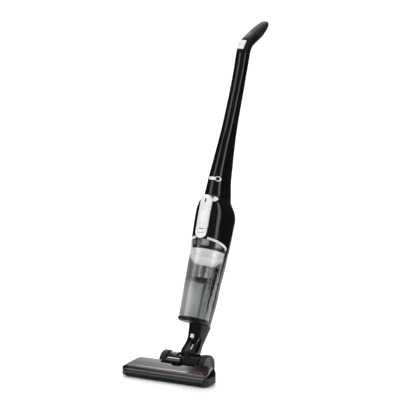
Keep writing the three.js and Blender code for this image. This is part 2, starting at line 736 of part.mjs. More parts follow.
function batteryPack() {
  const cellRadius = 9.1;
  const pitch = 18.8;
  const bottom = 458;
  const top = 518;
  const lowerTray = block([-28, -57, bottom + 2], [28, -20, bottom + 8]);
  const upperTray = block([-28, -57, top - 8], [28, -20, top - 2]);
  let pack = lowerTray.add(upperTray);
  for (const [x, y] of [[-pitch, -48], [0, -48], [pitch, -48], [-pitch / 2, -30], [pitch / 2, -30]]) {
    pack = pack.add(rod('z', cellRadius, bottom, top, [x, y], 12));
  }
  return pack;
}

function circuitBoard() {
  return block([-24, 20, 456], [24, 21.6, 504]).add(block([-14, 14, 470], [-2, 20.4, 482]))
    .add(block([5, 15, 462], [17, 20.4, 470])).add(rod('y', 4, 10, 20.4, [10, 488], 14));
}

// the handle follows the bend: ring centres along an arc, each turned square to it
const handleRings = [
  { z: shaftTop + gap, y: -36, halfWidth: 21.2, halfDepth: 21.5, tilt: 0 },
  { z: 1028, y: -34.5, halfWidth: 21, halfDepth: 21.5, tilt: 0.2 },
  { z: 1043, y: -29.5, halfWidth: 20.5, halfDepth: 21, tilt: 0.45 },
  { z: 1060, y: -17.5, halfWidth: 19.5, halfDepth: 20, tilt: 0.72 },
  { z: 1079, y: 2, halfWidth: 19.5, halfDepth: 20, tilt: 0.82 },
];
const gripRings = [
  { z: 1079.25, y: 2.25, halfWidth: 19.5, halfDepth: 20, tilt: 0.82 },
  { z: 1101, y: 26, halfWidth: 19.5, halfDepth: 20, tilt: 0.82 },
  { z: 1120, y: 45, halfWidth: 17.8, halfDepth: 18, tilt: 0.78 },
  { z: 1135, y: 59.5, halfWidth: 15.5, halfDepth: 14.8, tilt: 0.78 },
  { z: 1146, y: 70.5, halfWidth: 12, halfDepth: 10.5, tilt: 0.8 },
  { z: 1152, y: 76.5, halfWidth: 6.5, halfDepth: 5.5, tilt: 0.8 },
];

const shrunk = (rings, by) => rings.map((ring) => ({ ...ring, halfWidth: ring.halfWidth - by,
  halfDepth: ring.halfDepth - by }));

// moves a ring along its own axis
function moved(ring, distance) {
  return { ...ring, y: ring.y + distance * Math.sin(ring.tilt), z: ring.z + distance * Math.cos(ring.tilt) };
}

// the slider sits in a pocket on the outside of the bend
const sliderTilt = 0.42;
const sliderRing = { z: 1034, y: -33, halfDepth: 21 };
const sliderCentre = { y: sliderRing.y - sliderRing.halfDepth * Math.cos(sliderTilt),
  z: sliderRing.z + sliderRing.halfDepth * Math.sin(sliderTilt) };
const sliderTravel = 8;

function atSlider(body) {
  return body.rotate([THREE.MathUtils.radToDeg(-sliderTilt), 0, 0])
    .translate([0, sliderCentre.y, sliderCentre.z]);
}

// in the slider's own frame z runs along the bend and -y stands out of it
const sliderBlock = (half, length, outer, inner, shift = 0) =>
  block([-half, -outer, -length + shift], [half, inner, length + shift]);

function handleCore() {
  const inner = shrunk(handleRings, 3);
  inner[0] = moved(inner[0], -2);
  inner[inner.length - 1] = moved(inner[inner.length - 1], 2);
  const pocket = atSlider(sliderBlock(10.4, 21.6, 20, 5.2));
  return loft(handleRings, 2.4, 24).subtract(loft(inner, 2.4, 24)).subtract(pocket);
}

function powerSlider() {
  const plate = sliderBlock(10, 17, 1.6, 4.2, -sliderTravel / 2);
  return atSlider(plate.add(sliderBlock(7, 3, 3.2, 1, -sliderTravel / 2)));
}

function gripSleeve() {
  const inner = shrunk(gripRings.slice(0, 5), 3.2);
  inner[0] = moved(inner[0], -2);
  return loft(gripRings, 2.3, 24).subtract(loft(inner, 2.3, 24));
}

function wiringHarness() {
  const path = new THREE.CatmullRomCurve3([[0, -20, 522], [0, -26, 620], [0, -30, 780], [0, -32, 940],
    [0, -35, 1012], [0, -31, 1032]].map((p) => new THREE.Vector3(...p)));
  const section = new THREE.Shape();
  section.absarc(0, 0, 3, 0, Math.PI * 2);
  return solid(new THREE.ExtrudeGeometry(section, { steps: 14, curveSegments: 4, extrudePath: path }));
}

function buildBody(stick) {
  piece(stick, 'back_shell', backShell(), glossBlack);
  piece(stick, 'pod_front', podShell().intersect(ahead(podSplit)), glossBlack);
  piece(stick, 'pod_rear', podRear(), glossBlack);
  piece(stick, 'exhaust_grille', exhaustGrille(), satinBlack);
  piece(stick, 'exhaust_filter', block([-23, 46, 426], [23, 52.4, 476]), white);
  piece(stick, 'handle_panel', handlePanel(), silver);
  piece(stick, 'release_button', releaseButton(), silver);
  const socket = rod('y', 7, 38, 51.5, [0, socketZ], 24).subtract(rod('y', 4.2, 41, 60, [0, socketZ], 20));
  piece(stick, 'charging_socket', socket, satinBlack);
  piece(stick, 'fan_housing', fanHousing(), satinBlack);
  piece(stick, 'fan_impeller', fanImpeller(), white);
  piece(stick, 'suction_motor', suctionMotor(), steel);
  piece(stick, 'battery_pack', batteryPack(), green);
  piece(stick, 'circuit_board', circuitBoard(), green);
  const shaft = loft(grown(shaftSections)).subtract(loft(through(shaftSections, -wall)));
  piece(stick, 'shaft_front', shaft.intersect(ahead(shaftSplit)), glossBlack);
  piece(stick, 'shaft_rear', shaft.intersect(behind(shaftSplit + gap)), glossBlack);
  piece(stick, 'wiring_harness', wiringHarness(), softBlack);
  piece(stick, 'handle_core', handleCore(), glossBlack);
  piece(stick, 'power_slider', powerSlider(), silver);
  piece(stick, 'grip_sleeve', gripSleeve(), softBlack);
}

// ---------- assembly ----------
const vacuum = new THREE.Group();
const head = new THREE.Group();
head.position.set(-headOffset, -footprintCentre, 0);
const shell = new THREE.Group();
shell.position.x = headOffset;
const stick = new THREE.Group();
stick.position.set(0, datumBack, datumHeight);
stick.rotation.x = -lean;
head.add(shell, stick);
vacuum.add(head);

buildHeadBody(shell);
buildWheels(head);
buildNeck(stick);
buildContainer(stick);
buildBody(stick);

export default vacuum;
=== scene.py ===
import json
import math
import bmesh
import bpy
from mathutils import Matrix, Vector


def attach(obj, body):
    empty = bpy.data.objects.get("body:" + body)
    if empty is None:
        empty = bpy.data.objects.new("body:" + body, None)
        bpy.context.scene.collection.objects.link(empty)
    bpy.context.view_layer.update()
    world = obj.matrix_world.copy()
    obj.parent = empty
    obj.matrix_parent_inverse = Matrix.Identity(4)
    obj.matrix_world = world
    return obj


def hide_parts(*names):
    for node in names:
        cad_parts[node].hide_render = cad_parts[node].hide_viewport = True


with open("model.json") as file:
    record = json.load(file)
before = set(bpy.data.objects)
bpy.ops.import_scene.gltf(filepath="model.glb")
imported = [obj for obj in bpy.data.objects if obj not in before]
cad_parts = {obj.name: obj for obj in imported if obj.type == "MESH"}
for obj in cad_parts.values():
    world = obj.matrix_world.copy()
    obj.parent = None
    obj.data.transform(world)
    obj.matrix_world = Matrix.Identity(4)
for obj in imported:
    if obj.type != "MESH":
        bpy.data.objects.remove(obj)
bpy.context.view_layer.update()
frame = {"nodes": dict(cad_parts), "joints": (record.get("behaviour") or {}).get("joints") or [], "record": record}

mm = 0.001

# places, taken from the frame
joints = {joint["name"]: joint for joint in frame["joints"]}
wheelAxle = Vector(joints["neck_tilt"]["pos_m"])
stickAxis = Vector(joints["neck_swivel"]["axis"])
lean = math.atan2(stickAxis.y, stickAxis.z)
stickDatum = wheelAxle + Vector((0, 18, -4.5)) * mm
# the stick's own frame: x across, y back, z up the stick, in millimetres from its datum
stickPlace = Matrix.Translation(stickDatum) @ Matrix.Rotation(-lean, 4, "X") @ Matrix.Scale(mm, 4)
# the floor head's frame: x from the head's middle, y from the wheel axle, z from the floor
headPlace = Matrix.Translation((0, wheelAxle.y, 0)) @ Matrix.Scale(mm, 4)
# the same, with x from the middle of the neck
wheelPlace = Matrix.Translation((wheelAxle.x, wheelAxle.y, 0)) @ Matrix.Scale(mm, 4)


# small tools
def hexColour(text):  # sRGB hex to the linear value that a shader wants
    channels = [int(text[i:i + 2], 16) / 255 for i in (0, 2, 4)]
    linear = [c / 12.92 if c <= 0.04045 else ((c + 0.055) / 1.055) ** 2.4 for c in channels]
    return (*linear, 1)


def addNode(tree, kind, settings=None, links=None):
    # settings name a property, or an input socket by its number or name; links feed its inputs
    node = tree.nodes.new(kind)
    for key, value in (settings or {}).items():
        if isinstance(key, str) and hasattr(node, key):
            setattr(node, key, value)
        else:
            node.inputs[key].default_value = value
    for key, source in (links or {}).items():
        tree.links.new(source, node.inputs[key])
    return node


def startMaterial(name, shader):
    material = bpy.data.materials.new(name)
    material.use_nodes = True
    tree = material.node_tree
    principled = tree.nodes["Principled BSDF"]
    for key, value in shader.items():
        principled.inputs[key].default_value = value
    place = addNode(tree, "ShaderNodeTexCoord").outputs["Object"]
    return material, tree, principled, place


def rampBetween(tree, factor, low, high, stops=(0.3, 0.7)):
    ramp = addNode(tree, "ShaderNodeValToRGB", links={"Fac": factor})
    for element, position, colour in zip(ramp.color_ramp.elements, stops, (low, high)):
        element.position = position
        element.color = colour
    return ramp.outputs["Color"]


def noiseOf(tree, place, sizeMm, detail=3.0):
    return addNode(tree, "ShaderNodeTexNoise", {"Scale": perMetre / sizeMm, "Detail": detail},
                   {"Vector": place}).outputs["Fac"]


def cellsOf(tree, place, sizeMm):
    return addNode(tree, "ShaderNodeTexVoronoi", {"Scale": perMetre / sizeMm},
                   {"Vector": place}).outputs["Distance"]


def colourBy(tree, shader, factor, low, high, stops=(0.3, 0.7)):
    made = rampBetween(tree, factor, hexColour(low), hexColour(high), stops)
    tree.links.new(made, shader.inputs["Base Color"])


def roughenBy(tree, shader, factor, low, high):
    made = addNode(tree, "ShaderNodeMapRange", {"To Min": low, "To Max": high}, {"Value": factor})
    tree.links.new(made.outputs["Result"], shader.inputs["Roughness"])


def embossBy(tree, shader, factor, strength, depthMm):
    made = addNode(tree, "ShaderNodeBump", {"Strength": strength, "Distance": depthMm * mm},
                   {"Height": factor})
    tree.links.new(made.outputs["Normal"], shader.inputs["Normal"])


# Materials: pattern scales are per metre, so a cell of a size in millimetres is perMetre / size
perMetre = 1000


def polishedAbs():
    # high-gloss moulded ABS: deep black, crisp reflections, faint mould flow and fine dust-like wear
    material, tree, shader, place = startMaterial("PolishedBlackABS", {
        "IOR": 1.53, "Specular IOR Level": 0.32})
    flow = noiseOf(tree, place, 90)
    colourBy(tree, shader, flow, "0b0b0c", "111113")
    roughenBy(tree, shader, noiseOf(tree, place, 4, 6.0), 0.07, 0.17)
    embossBy(tree, shader, flow, 0.05, 0.4)
    return material


def texturedAbs():
    # spark-eroded ABS: satin black with a fine even grain that breaks up the highlights
    material, tree, shader, place = startMaterial("TexturedBlackABS", {
        "IOR": 1.53, "Specular IOR Level": 0.28})
    patch = noiseOf(tree, place, 40, 4.0)
    colourBy(tree, shader, patch, "151516", "1e1e1f")
    roughenBy(tree, shader, patch, 0.41, 0.54)
    embossBy(tree, shader, noiseOf(tree, place, 1.1, 2.0), 0.25, 0.2)
    return material


def clearPolycarbonate():
    # polished moulded polycarbonate: nearly colourless, faintly hazy, and lets light reach what is inside
    material, tree, shader, place = startMaterial("ClearPolycarbonate", {
        "Base Color": hexColour("f4f6f7"), "IOR": 1.5, "Transmission Weight": 1.0, "Alpha": 0.32,
        "Coat Weight": 0.6, "Coat Roughness": 0.02})
    roughenBy(tree, shader, noiseOf(tree, place, 14, 5.0), 0.0, 0.06)
    return material


def frostedPolycarbonate():
    # frosted polycarbonate for the cup's liner and rim: milky pale grey with a soft, uneven sheen
    material, tree, shader, place = startMaterial("FrostedPolycarbonate", {
        "IOR": 1.46, "Transmission Weight": 0.06, "Subsurface Weight": 0.1})
    colourBy(tree, shader, noiseOf(tree, place, 35), "e6e8ea", "f5f6f6")
    roughenBy(tree, shader, noiseOf(tree, place, 1.5), 0.38, 0.55)
    return material


def mattAbs():
    # deep black ABS with an eroded, light-trapping grain, for undersides and the bend of the handle
    material, tree, shader, place = startMaterial("MattBlackABS", {"IOR": 1.53, "Specular IOR Level": 0.12})
    grain = noiseOf(tree, place, 0.9)
    colourBy(tree, shader, grain, "0d0d0e", "171718")
    roughenBy(tree, shader, grain, 0.35, 0.5)
    embossBy(tree, shader, grain, 0.2, 0.2)
    return material


def linedAbs():
    # black ABS with fine lines across the head, so that light spreads into a grey sheen
    material, tree, shader, place = startMaterial("LinedBlackABS", {"IOR": 1.53, "Specular IOR Level": 0.3})
    stretch = addNode(tree, "ShaderNodeMapping", {"Scale": (0.04, 1.0, 1.0)}, {"Vector": place})
    lines = noiseOf(tree, stretch.outputs["Vector"], 1.4)
    colourBy(tree, shader, lines, "0e0e0f", "19191a")
    roughenBy(tree, shader, lines, 0.24, 0.36)
    embossBy(tree, shader, lines, 0.08, 0.2)
    return material


def greyNylon():
    # glass-filled nylon for the wheel discs: mid grey with pale fibre specks and scuffs
    material, tree, shader, place = startMaterial("GreyNylon", {"IOR": 1.53})
    specks = cellsOf(tree, place, 3)
    colourBy(tree, shader, specks, "77777a", "3c3c3e", (0.1, 0.5))
    roughenBy(tree, shader, specks, 0.4, 0.6)
    return material


def smokedAcrylic():
    # smoked polished acrylic: dark grey see-through front with soft reflections
    material, tree, shader, place = startMaterial("SmokedAcrylic", {
        "Base Color": hexColour("3c3c40"), "IOR": 1.49, "Transmission Weight": 0.55})
    roughenBy(tree, shader, noiseOf(tree, place, 20, 5.0), 0.08, 0.2)
    return material


def silverLacquer():
    # metallic silver lacquer over ABS: pale, with fine aluminium flake and a soft sheen
    material, tree, shader, place = startMaterial("SilverLacquer", {
        "Metallic": 0.12, "IOR": 1.5, "Coat Weight": 0.3, "Coat Roughness": 0.15})
    flake = cellsOf(tree, place, 0.8)
    colourBy(tree, shader, flake, "e2e3e3", "f4f4f3", (0.1, 0.6))
    roughenBy(tree, shader, noiseOf(tree, place, 25), 0.29, 0.4)
    embossBy(tree, shader, flake, 0.06, 0.1)
    return material


def paintedMarkShade(name, low, high):
    # painted shade for the small moulded marks: flat grey, slightly uneven, in place of the shade along their
    # relief
    material, tree, shader, place = startMaterial(name, {"Roughness": 0.5, "IOR": 1.5})
    colourBy(tree, shader, noiseOf(tree, place, 3), low, high)
    return material


def turnedSteel():
    # turned and drawn steel: grey, with a fine mottle of tool marks
    material, tree, shader, place = startMaterial("TurnedSteel", {"Metallic": 1.0})
    marks = noiseOf(tree, place, 1.2, 4.0)
    colourBy(tree, shader, marks, "8f9194", "c2c4c6")
    roughenBy(tree, shader, marks, 0.22, 0.42)
    return material


def softTouchRubber():
    # soft-touch TPE grip: near-black, matt, with a fine pebble and a slight velvety sheen
    material, tree, shader, place = startMaterial("SoftTouchTPE", {
        "IOR": 1.5, "Specular IOR Level": 0.16, "Sheen Weight": 0.03, "Sheen Roughness": 0.5})
    worn = noiseOf(tree, place, 30, 4.0)
    colourBy(tree, shader, worn, "0e0e0e", "171716")
    roughenBy(tree, shader, worn, 0.5, 0.66)
    embossBy(tree, shader, cellsOf(tree, place, 1.6), 0.35, 0.3)
    return material


def mouldedRubber():
    # moulded EPDM rubber: matt black with a dusty bloom, for belts, seals and treads
    material, tree, shader, place = startMaterial("MouldedRubber", {"IOR": 1.5})
    bloom = noiseOf(tree, place, 12, 6.0)
    colourBy(tree, shader, bloom, "161616", "262625")
    roughenBy(tree, shader, bloom, 0.62, 0.85)
    embossBy(tree, shader, bloom, 0.2, 0.3)
    return material


def redAbs():
    # deep red gloss ABS for the line on the deck and the lock
    material, tree, shader, place = startMaterial("RedABS", {"IOR": 1.53, "Coat Weight": 0.3})
    flow = noiseOf(tree, place, 15, 2.0)
    colourBy(tree, shader, flow, "98101b", "b81a26")
    roughenBy(tree, shader, flow, 0.18, 0.3)
    return material


def whiteAbs():
    # plain white moulded ABS for the small button and the fan
    material, tree, shader, place = startMaterial("WhiteABS", {"IOR": 1.53})
    flow = noiseOf(tree, place, 10, 2.0)
    colourBy(tree, shader, flow, "eeeeec", "fbfbf9")
    roughenBy(tree, shader, flow, 0.28, 0.4)
    return material


def filterFoam():
    # open-cell polyurethane foam: pale grey, full of small dark pores
    material, tree, shader, place = startMaterial("FilterFoam", {"Roughness": 0.95, "IOR": 1.45})
    pores = cellsOf(tree, place, 2.2)
    colourBy(tree, shader, pores, "6f6f6c", "c9c9c4", (0.1, 0.6))
    embossBy(tree, shader, pores, 0.6, 1.0)
    return material


def greenBoard():
    # glass-fibre board and shrink wrap: green with a faint weave
    material, tree, shader, place = startMaterial("GreenFibreBoard", {"Roughness": 0.45, "IOR": 1.5})
    weave = addNode(tree, "ShaderNodeTexWave", {"Scale": perMetre / 6, "Distortion": 1.0}, {"Vector": place})
    colourBy(tree, shader, weave.outputs["Fac"], "15482a", "1f6238")
    return material


def nylonBristle():
    # nylon bristle tufts on a black core: dark, in uneven clumps
    material, tree, shader, place = startMaterial("NylonBristle", {"IOR": 1.53})
    clumps = noiseOf(tree, place, 2, 4.0)
    colourBy(tree, shader, clumps, "101011", "4a4a4d")
    roughenBy(tree, shader, clumps, 0.5, 0.8)
    embossBy(tree, shader, clumps, 0.8, 1.0)
    return material


finishes = {
    "satin_black_plastic": texturedAbs(), "gloss_black_plastic": polishedAbs(),
    "smoked_clear_plastic": smokedAcrylic(), "red_trim": redAbs(), "bristle_roller": nylonBristle(),
    "steel": turnedSteel(), "rubber_black": mouldedRubber(), "soft_tread": mouldedRubber(),
    "soft_grip": softTouchRubber(), "white_plastic": whiteAbs(),
    "clear_polycarbonate": clearPolycarbonate(), "silver_paint": silverLacquer(),
    "filter_foam": filterFoam(), "green_board": greenBoard()}
frosted, mattBlack, wheelGrey, deckBlack = frostedPolycarbonate(), mattAbs(), greyNylon(), linedAbs()
# grey and dark painted shade for the moulded marks on the panel and the button
shade, darkShade = paintedMarkShade("GreyPaintedShade", "9a9a9c", "b0b0b1"), paintedMarkShade("DarkPaintedShade", "555557", "6c6c6e")
slotOf = {part["node"]: part["material_slot"] for part in frame["record"]["subparts"]}
bodyOf = {node: body for body, members in frame["record"]["behaviour"]["bodies"].items() for node in members}
for node, piece in frame["nodes"].items():
    piece.data.materials.clear()
    piece.data.materials.append(finishes[slotOf[node]])
print("materials made:", len(finishes))


# shaping tools
def curveRow(rows, at):
    # a smooth curve through rows; the first number of a row is its place along the curve
    last = len(rows) - 1
    index = 0
    while index < last - 1 and rows[index + 1][0] <= at:
        index += 1
    low, high = rows[index], rows[index + 1]
    span = high[0] - low[0]
    t = (at - low[0]) / span
    before, after = rows[max(index - 1, 0)], rows[min(index + 2, last)]
    made = [at]
    for k in range(1, len(low)):
        slopeLow = (high[k] - before[k]) / (high[0] - before[0])
        slopeHigh = (after[k] - low[k]) / (after[0] - low[0])
        made.append((2 * t ** 3 - 3 * t ** 2 + 1) * low[k] + (t ** 3 - 2 * t ** 2 + t) * span * slopeLow
                    + (3 * t ** 2 - 2 * t ** 3) * high[k] + (t ** 3 - t ** 2) * span * slopeHigh)
    return made


def addRing(bm, z, y, halfWidth, halfDepth, tilt=0.0, squareness=2.5, count=72):
    ring = bmesh.ops.create_circle(bm, segments=count, radius=1)["verts"]
    for vert in ring:
        angle = math.atan2(vert.co.y, vert.co.x)
        c, s = math.cos(angle), math.sin(angle)
        across = halfWidth * math.copysign(abs(c) ** (2 / squareness), c)
        back = halfDepth * math.copysign(abs(s) ** (2 / squareness), s)
        vert.co = (across, y + back * math.cos(tilt), z - back * math.sin(tilt))
    return list({edge for vert in ring for edge in vert.link_edges})


def bridgeRings(bm, rings):
    for low, high in zip(rings, rings[1:]):
        bmesh.ops.bridge_loops(bm, edges=low + high)


def loftSections(sections, steps=6, squareness=2.5, count=72, grow=0.0):
    # an open tube through sections of height, half width, front and back
    bm = bmesh.new()
    rings = []
    spans = len(sections) - 1
    for i in range(spans * steps + 1):
        span = min(i // steps, spans - 1)
        at = sections[span][0] + (i / steps - span) * (sections[span + 1][0] - sections[span][0])
        z, halfWidth, front, back = curveRow(sections, at)
        rings.append(addRing(bm, z, (front + back) / 2, halfWidth + grow, (back - front) / 2 + grow, 0.0,
                             squareness, count))
    bridgeRings(bm, rings)
    return bm


def spinPoints(points, centre, axis, around, closed):
    bm = bmesh.new()
    verts = [bm.verts.new(point) for point in points]
    edges = [bm.edges.new(pair) for pair in zip(verts, verts[1:])]
    if closed:
        edges.append(bm.edges.new((verts[-1], verts[0])))
    bmesh.ops.spin(bm, geom=verts + edges, cent=centre, axis=axis, angle=math.tau, steps=around,
                   use_merge=True)
    bmesh.ops.remove_doubles(bm, verts=bm.verts, dist=0.01)
    bmesh.ops.recalc_face_normals(bm, faces=bm.faces)
    return bm


def spinProfile(profile, y, around=72):
    # a turned piece around an upright axis at y; profile points are radius and height
    closed = min(profile[0][0], profile[-1][0]) > 0.05
    return spinPoints([(radius, y, z) for radius, z in profile], (0, y, 0), (0, 0, 1), around, closed)


def spinAcross(profile, y, z, around=96):
    # a turned piece around an axis across the head; profile points are place across and radius
    return spinPoints([(x, y, z + radius) for x, radius in profile], (0, y, z), (1, 0, 0), around, True)


def closeEnds(bm):
    edges = [edge for edge in bm.edges if edge.is_boundary]
    bmesh.ops.holes_fill(bm, edges=edges, sides=0)
    bmesh.ops.recalc_face_normals(bm, faces=bm.faces)


def asObject(bm, name):
    mesh = bpy.data.meshes.new(name)
    bm.to_mesh(mesh)
    bm.free()
    made = bpy.data.objects.new(name, mesh)
    bpy.context.scene.collection.objects.link(made)
    return made


def keepBehind(bm, point, normal):
    # cuts along a plane and keeps the side that the normal points away from
    geometry = bm.verts[:] + bm.edges[:] + bm.faces[:]
    bmesh.ops.bisect_plane(bm, geom=geometry, plane_co=point, plane_no=normal, clear_outer=True)


def faceOutwards(bm):
    bmesh.ops.remove_doubles(bm, verts=bm.verts, dist=0.02)
    bmesh.ops.recalc_face_normals(bm, faces=bm.faces)
    middle = sum((face.calc_center_median() for face in bm.faces), Vector()) / len(bm.faces)
    outward = sum((face.calc_center_median() - middle).dot(face.normal) * face.calc_area()
                  for face in bm.faces)
    if outward < 0:
        bmesh.ops.reverse_faces(bm, faces=bm.faces)


def faceToward(bm, direction):
    # turns an open sheet so that most of its area looks along direction
    if sum(face.normal.dot(Vector(direction)) * face.calc_area() for face in bm.faces) < 0:
        bmesh.ops.reverse_faces(bm, faces=bm.faces)


def makePiece(bm, name, nodes=(), place=stickPlace, wall=0.0, rounding=0.5, body=None, slot=None,
              sharpDeg=40, even=True, finish=None):
    # wall and rounding are in millimetres; the piece stands for the CAD nodes and rides with them
    bm.transform(place)
    piece = asObject(bm, name)
    mesh = piece.data
    mesh.polygons.foreach_set("use_smooth", [True] * len(mesh.polygons))
    mesh.set_sharp_from_angle(angle=math.radians(sharpDeg))
    slot = slot or slotOf[nodes[0]]
    mesh.materials.append(finish or finishes[slot])
    if wall:
        solid = piece.modifiers.new("wall", "SOLIDIFY")
        solid.thickness = wall * mm
        solid.offset = -1
        solid.use_even_offset = even
    if rounding:
        bevel = piece.modifiers.new("rounding", "BEVEL")
        bevel.width = rounding * mm
        bevel.segments = 2
        bevel.limit_method = "ANGLE"
        bevel.angle_limit = math.radians(sharpDeg)
        bevel.harden_normals = True
    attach(piece, body or bodyOf[nodes[0]])
    if nodes:
        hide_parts(*nodes)


# camera, lights and floor
studio = {"eye": (3229.9, -5391.0, 1607.05), "turn": 30.4, "dip": 9.7, "lens": 176.9,
          "bright": (-0.42, 0.72, 0.55), "card": 0.95}
camera = bpy.data.objects.new("Camera", bpy.data.cameras.new("Camera"))
bpy.context.scene.collection.objects.link(camera)
camera.location = Vector((wheelAxle.x, stickDatum.y, 0)) + Vector(studio["eye"]) * mm
camera.rotation_euler = (math.radians(90 - studio["dip"]), 0, math.radians(studio["turn"]))
camera.data.lens = studio["lens"]
camera.data.sensor_width = 36
camera.data.clip_end = 200
bpy.context.scene.camera = camera
bpy.context.scene.view_settings.view_transform = "Standard"


def addPanelLight(name, spot, aim, size, power):
    light = bpy.data.lights.new(name, "AREA")
    light.shape = "RECTANGLE"
    light.size, light.size_y = size
    light.energy = power
    lamp = bpy.data.objects.new(name, light)
    bpy.context.scene.collection.objects.link(lamp)
    lamp.location = spot
    lamp.rotation_euler = (Vector(aim) - Vector(spot)).to_track_quat("-Z", "Y").to_euler()
    return lamp


def buildStudio():
    world = bpy.data.worlds.new("Studio")
    bpy.context.scene.world = world
    world.use_nodes = True
    tree = world.node_tree
    direction = addNode(tree, "ShaderNodeTexCoord").outputs["Generated"]
    # bright behind and above the object, dim in front of it, so that gloss black stays black
    towards = addNode(tree, "ShaderNodeVectorMath", {"operation": "DOT_PRODUCT", 1: studio["bright"]},
                      {0: direction}).outputs["Value"]
    glow = rampBetween(tree, towards, (0.16, 0.16, 0.16, 1), (1.9, 1.9, 1.9, 1), (0.1, 0.85))
    tree.links.new(glow, tree.nodes["Background"].inputs["Color"])
    tree.nodes["Background"].inputs["Strength"].default_value = 1.0
    addPanelLight("KeyPanel", (-2.0, -3.4, 2.8), (0, 0, 0.5), (1.3, 2.2), 24)
    addPanelLight("StripPanel", (3.3, -0.35, 1.8), (0, 0, 0.55), (1.3, 2.6), 38)
    addPanelLight("BackPanel", (-1.2, 2.6, 3.2), (0, 0, 0.3), (2.4, 2.0), 60)
    # a broad fill that gloss surfaces don't mirror
    fill = addPanelLight("FillPanel", (-1.6, -3.2, 1.2), (0, 0, 0.3), (2.2, 1.6), 34)
    fill.visible_glossy = False
    # two black cards beside the object keep its flanks dark
    turn = Matrix.Rotation(math.radians(studio["turn"]), 4, "Z")
    for name, x in (("CardLeft", -studio["card"]), ("CardRight", studio["card"])):
        sheet = bmesh.new()
        place = turn @ Matrix.Translation((x, 1.3, 0.76)) @ Matrix.Rotation(math.pi / 2, 4, "Y")
        place = place @ Matrix.Scale(2.2, 4, (0, 1, 0))
        bmesh.ops.create_grid(sheet, x_segments=1, y_segments=1, size=0.75, matrix=place)
        card = asObject(sheet, name)
        card.data.materials.append(mattBlack)
        # only reflections see the cards, so they don't shade the floor
        card.visible_camera = card.visible_diffuse = card.visible_shadow = card.visible_transmission = False
    floor = bmesh.new()
    bmesh.ops.create_grid(floor, x_segments=8, y_segments=8, size=60)
    slab = asObject(floor, "Floor")
    material, tree, shader, place = startMaterial("PaintedFloor", {"Roughness": 0.32, "IOR": 1.4,
                                                                   "Specular IOR Level": 0.5})
    speck = addNode(tree, "ShaderNodeTexNoise", {"Scale": 3.0, "Detail": 2.0}, {"Vector": place})
    tint = rampBetween(tree, speck.outputs["Fac"], hexColour("fafafa"), hexColour("fefefe"))
    tree.links.new(tint, shader.inputs["Base Color"])
    slab.data.materials.append(material)



def carve(bm, cutter, operation="DIFFERENCE"):
    # takes one closed mesh out of another, and gives back the result
    target, tool = asObject(bm, "carveTarget"), asObject(cutter, "carveTool")
    cut = target.modifiers.new("cut", "BOOLEAN")
    cut.operation = operation
    cut.solver = "EXACT"
    cut.object = tool
    bpy.context.view_layer.update()
    result = bmesh.new()
    result.from_mesh(target.evaluated_get(bpy.context.evaluated_depsgraph_get()).data)
    for used in (target, tool):
        mesh = used.data
        bpy.data.objects.remove(used)
        bpy.data.meshes.remove(mesh)
    return result


def boxOf(low, high):
    bm = bmesh.new()
    size = [h - l for l, h in zip(low, high)]
    middle = Vector([(h + l) / 2 for l, h in zip(low, high)])
    bmesh.ops.create_cube(bm, size=1, matrix=Matrix.Translation(middle) @ Matrix.Diagonal((*size, 1)))
    return bm


def rodOf(radius, start, end, axis="Z", around=64):
    # a closed rod from one point to another along X, Y or Z
    bm = bmesh.new()
    length = (Vector(end) - Vector(start)).length
    turn = {"X": Matrix.Rotation(math.pi / 2, 4, "Y"), "Y": Matrix.Rotation(math.pi / 2, 4, "X"),
            "Z": Matrix.Identity(4)}[axis]
    middle = (Vector(start) + Vector(end)) / 2
    bmesh.ops.create_cone(bm, cap_ends=True, segments=around, radius1=radius, radius2=radius, depth=length,
                          matrix=Matrix.Translation(middle) @ turn)
    return bm


def loftSolid(sections, steps=6, squareness=2.5, count=72, grow=0.0):
    bm = loftSections(sections, steps, squareness, count, grow)
    closeEnds(bm)
    return bm


def frontOf(sections, x, z, squareness=2.5):
    # how far forward a lofted surface stands at x and z
    _, halfWidth, front, back = curveRow(sections, z)
    reach = max(0.0, 1 - min(1.0, abs(x) / halfWidth) ** squareness) ** (1 / squareness)
    return (front + back) / 2 - (back - front) / 2 * reach


# the slanted seam between container and pod, and how far past the object a cutting block reaches
seam = {"height": 380, "slope": 0.25, "reach": 300}


def seamBlock(shift, above=True):
    # everything above or below the seam, moved up by shift
    reach = seam["reach"]
    block = boxOf((-reach, -reach, 0 if above else -reach), (reach, reach, reach if above else 0))
    block.transform(Matrix.Translation((0, 0, seam["height"] + shift))
                    @ Matrix.Rotation(-math.atan(seam["slope"]), 4, "X"))
    return block


def stretched(sections, atStart=0.0, atEnd=0.0, inset=0.0):
    # the same sections with their ends moved apart and their walls moved in
    last = len(sections) - 1
    return [(z - (atStart if i == 0 else 0) + (atEnd if i == last else 0), halfWidth - inset, front + inset,
             back - inset) for i, (z, halfWidth, front, back) in enumerate(sections)]


def sideBlock(y, facing, low, high):
    # everything behind y for a front half, or in front of it for a rear half
    return boxOf((-200, y, low), (200, 400, high)) if facing > 0 else boxOf((-200, -400, low), (200, y, high))


buildStudio()
print("studio ready")


# shaft
shaft = {
    "sections": [(535.3, 36, -76, 31), (560, 33, -77, 26), (592, 30, -77, 17), (640, 27, -72.5, 10.5),
                 (690, 24.5, -67.5, 3.5), (757, 22, -60, -4), (830, 21, -56, -7.5),
                 (900, 20.6, -53.5, -9.5), (965, 20.8, -54.5, -12.5), (1010, 21.2, -57.5, -14.5)],
    "split": -30, "seam": 0.3, "wall": 2.6, "rounding": 0.35}


def buildShaft():
    for name, node, y, facing in (("ShaftFront", "shaft_front", shaft["split"], 1),
                                  ("ShaftRear", "shaft_rear", shaft["split"] + shaft["seam"], -1)):
        bm = loftSections(shaft["sections"], 5)
        keepBehind(bm, (0, y, 0), (0, facing, 0))
        faceOutwards(bm)
        makePiece(bm, name, [node], wall=shaft["wall"], rounding=shaft["rounding"])


buildShaft()


